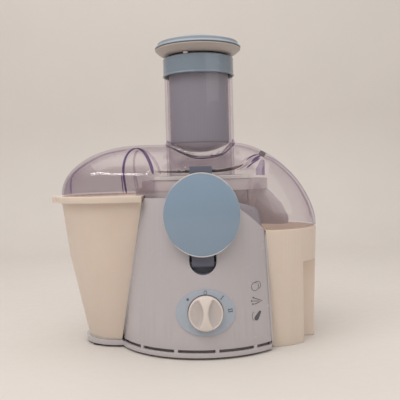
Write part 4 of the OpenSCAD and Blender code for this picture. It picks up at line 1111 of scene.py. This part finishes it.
def stage_and_light():
    floor_mat = plastic("floor", (0.66, 0.625, 0.595), roughness=0.55, vary=0.04, grain=0.0, sheen_scale=6.0)
    bm = bmesh.new()
    depth = [(-1.6, 0.0)] + [(0.75 + 0.35 * math.sin(a), 0.35 - 0.35 * math.cos(a))
                             for a in [math.pi / 2 * i / 12 for i in range(13)]] + [(1.1, 3.0)]
    rows = [[bm.verts.new((x, y, z)) for x in (-3.0, 3.0)] for y, z in depth]
    for a, b in zip(rows, rows[1:]):
        face = bm.faces.new((a[0], a[1], b[1], b[0]))
        face.smooth = True
    mesh = bpy.data.meshes.new("floor")
    bm.to_mesh(mesh)
    bm.free()
    mesh.materials.append(floor_mat)
    floor = bpy.data.objects.new("floor", mesh)
    bpy.context.scene.collection.objects.link(floor)
    world = bpy.data.worlds.new("world")
    world.use_nodes = True
    world.node_tree.nodes["Background"].inputs["Color"].default_value = (1.0, 0.96, 0.92, 1)
    world.node_tree.nodes["Background"].inputs["Strength"].default_value = 0.45
    bpy.context.scene.world = world
    # The streak is a thin strip light that draws the bright line along the lid's left lobe.
    for name, place, size, power, colour, lean in (
        ("key", (-0.6, -1.0, 1.6), (1.9, 1.3), 17.0, (1.0, 0.95, 0.9), 0.0),
        ("fill", (1.0, -0.9, 1.1), (1.4, 1.4), 4.5, (1.0, 0.96, 0.92), 0.0),
        ("top", (0.0, 0.2, 1.6), (2.2, 1.2), 9.0, (1.0, 0.97, 0.94), 0.0),
        ("streak", (-0.6, -0.55, 1.25), (1.1, 0.04), 2.2, (1.0, 0.98, 0.96), 0.12),
    ):
        light = bpy.data.lights.new(name, "AREA")
        light.shape = "RECTANGLE"
        light.size, light.size_y = size
        light.energy = power
        light.color = colour
        lamp = bpy.data.objects.new(name, light)
        lamp.location = AXIS + Vector(place)
        aim = AXIS + Vector((0, 0, 0.18)) - lamp.location
        lamp.rotation_euler = (aim.to_track_quat("-Z", "Y") @ Quaternion((0, 0, 1), lean)).to_euler()
        lamp.visible_glossy = name != "key"
        bpy.context.scene.collection.objects.link(lamp)


def camera():
    data = bpy.data.cameras.new("camera")
    data.lens = 56.1
    data.sensor_width = 36.0
    cam = bpy.data.objects.new("camera", data)
    pitch, roll, yaw = math.radians(-2.42), math.radians(-1.49), math.radians(0.305)
    turn = Matrix.Rotation(yaw, 4, "Z") @ Matrix.Rotation(math.pi / 2 + pitch, 4, "X")
    turn = turn @ Matrix.Rotation(roll, 4, "Z")
    cam.matrix_world = Matrix.Translation(AXIS + Vector((0.002, -0.7208, 0.1885))) @ turn
    bpy.context.scene.collection.objects.link(cam)
    bpy.context.scene.camera = cam


stage_and_light()
camera()
bpy.context.scene.view_settings.view_transform = "Standard"
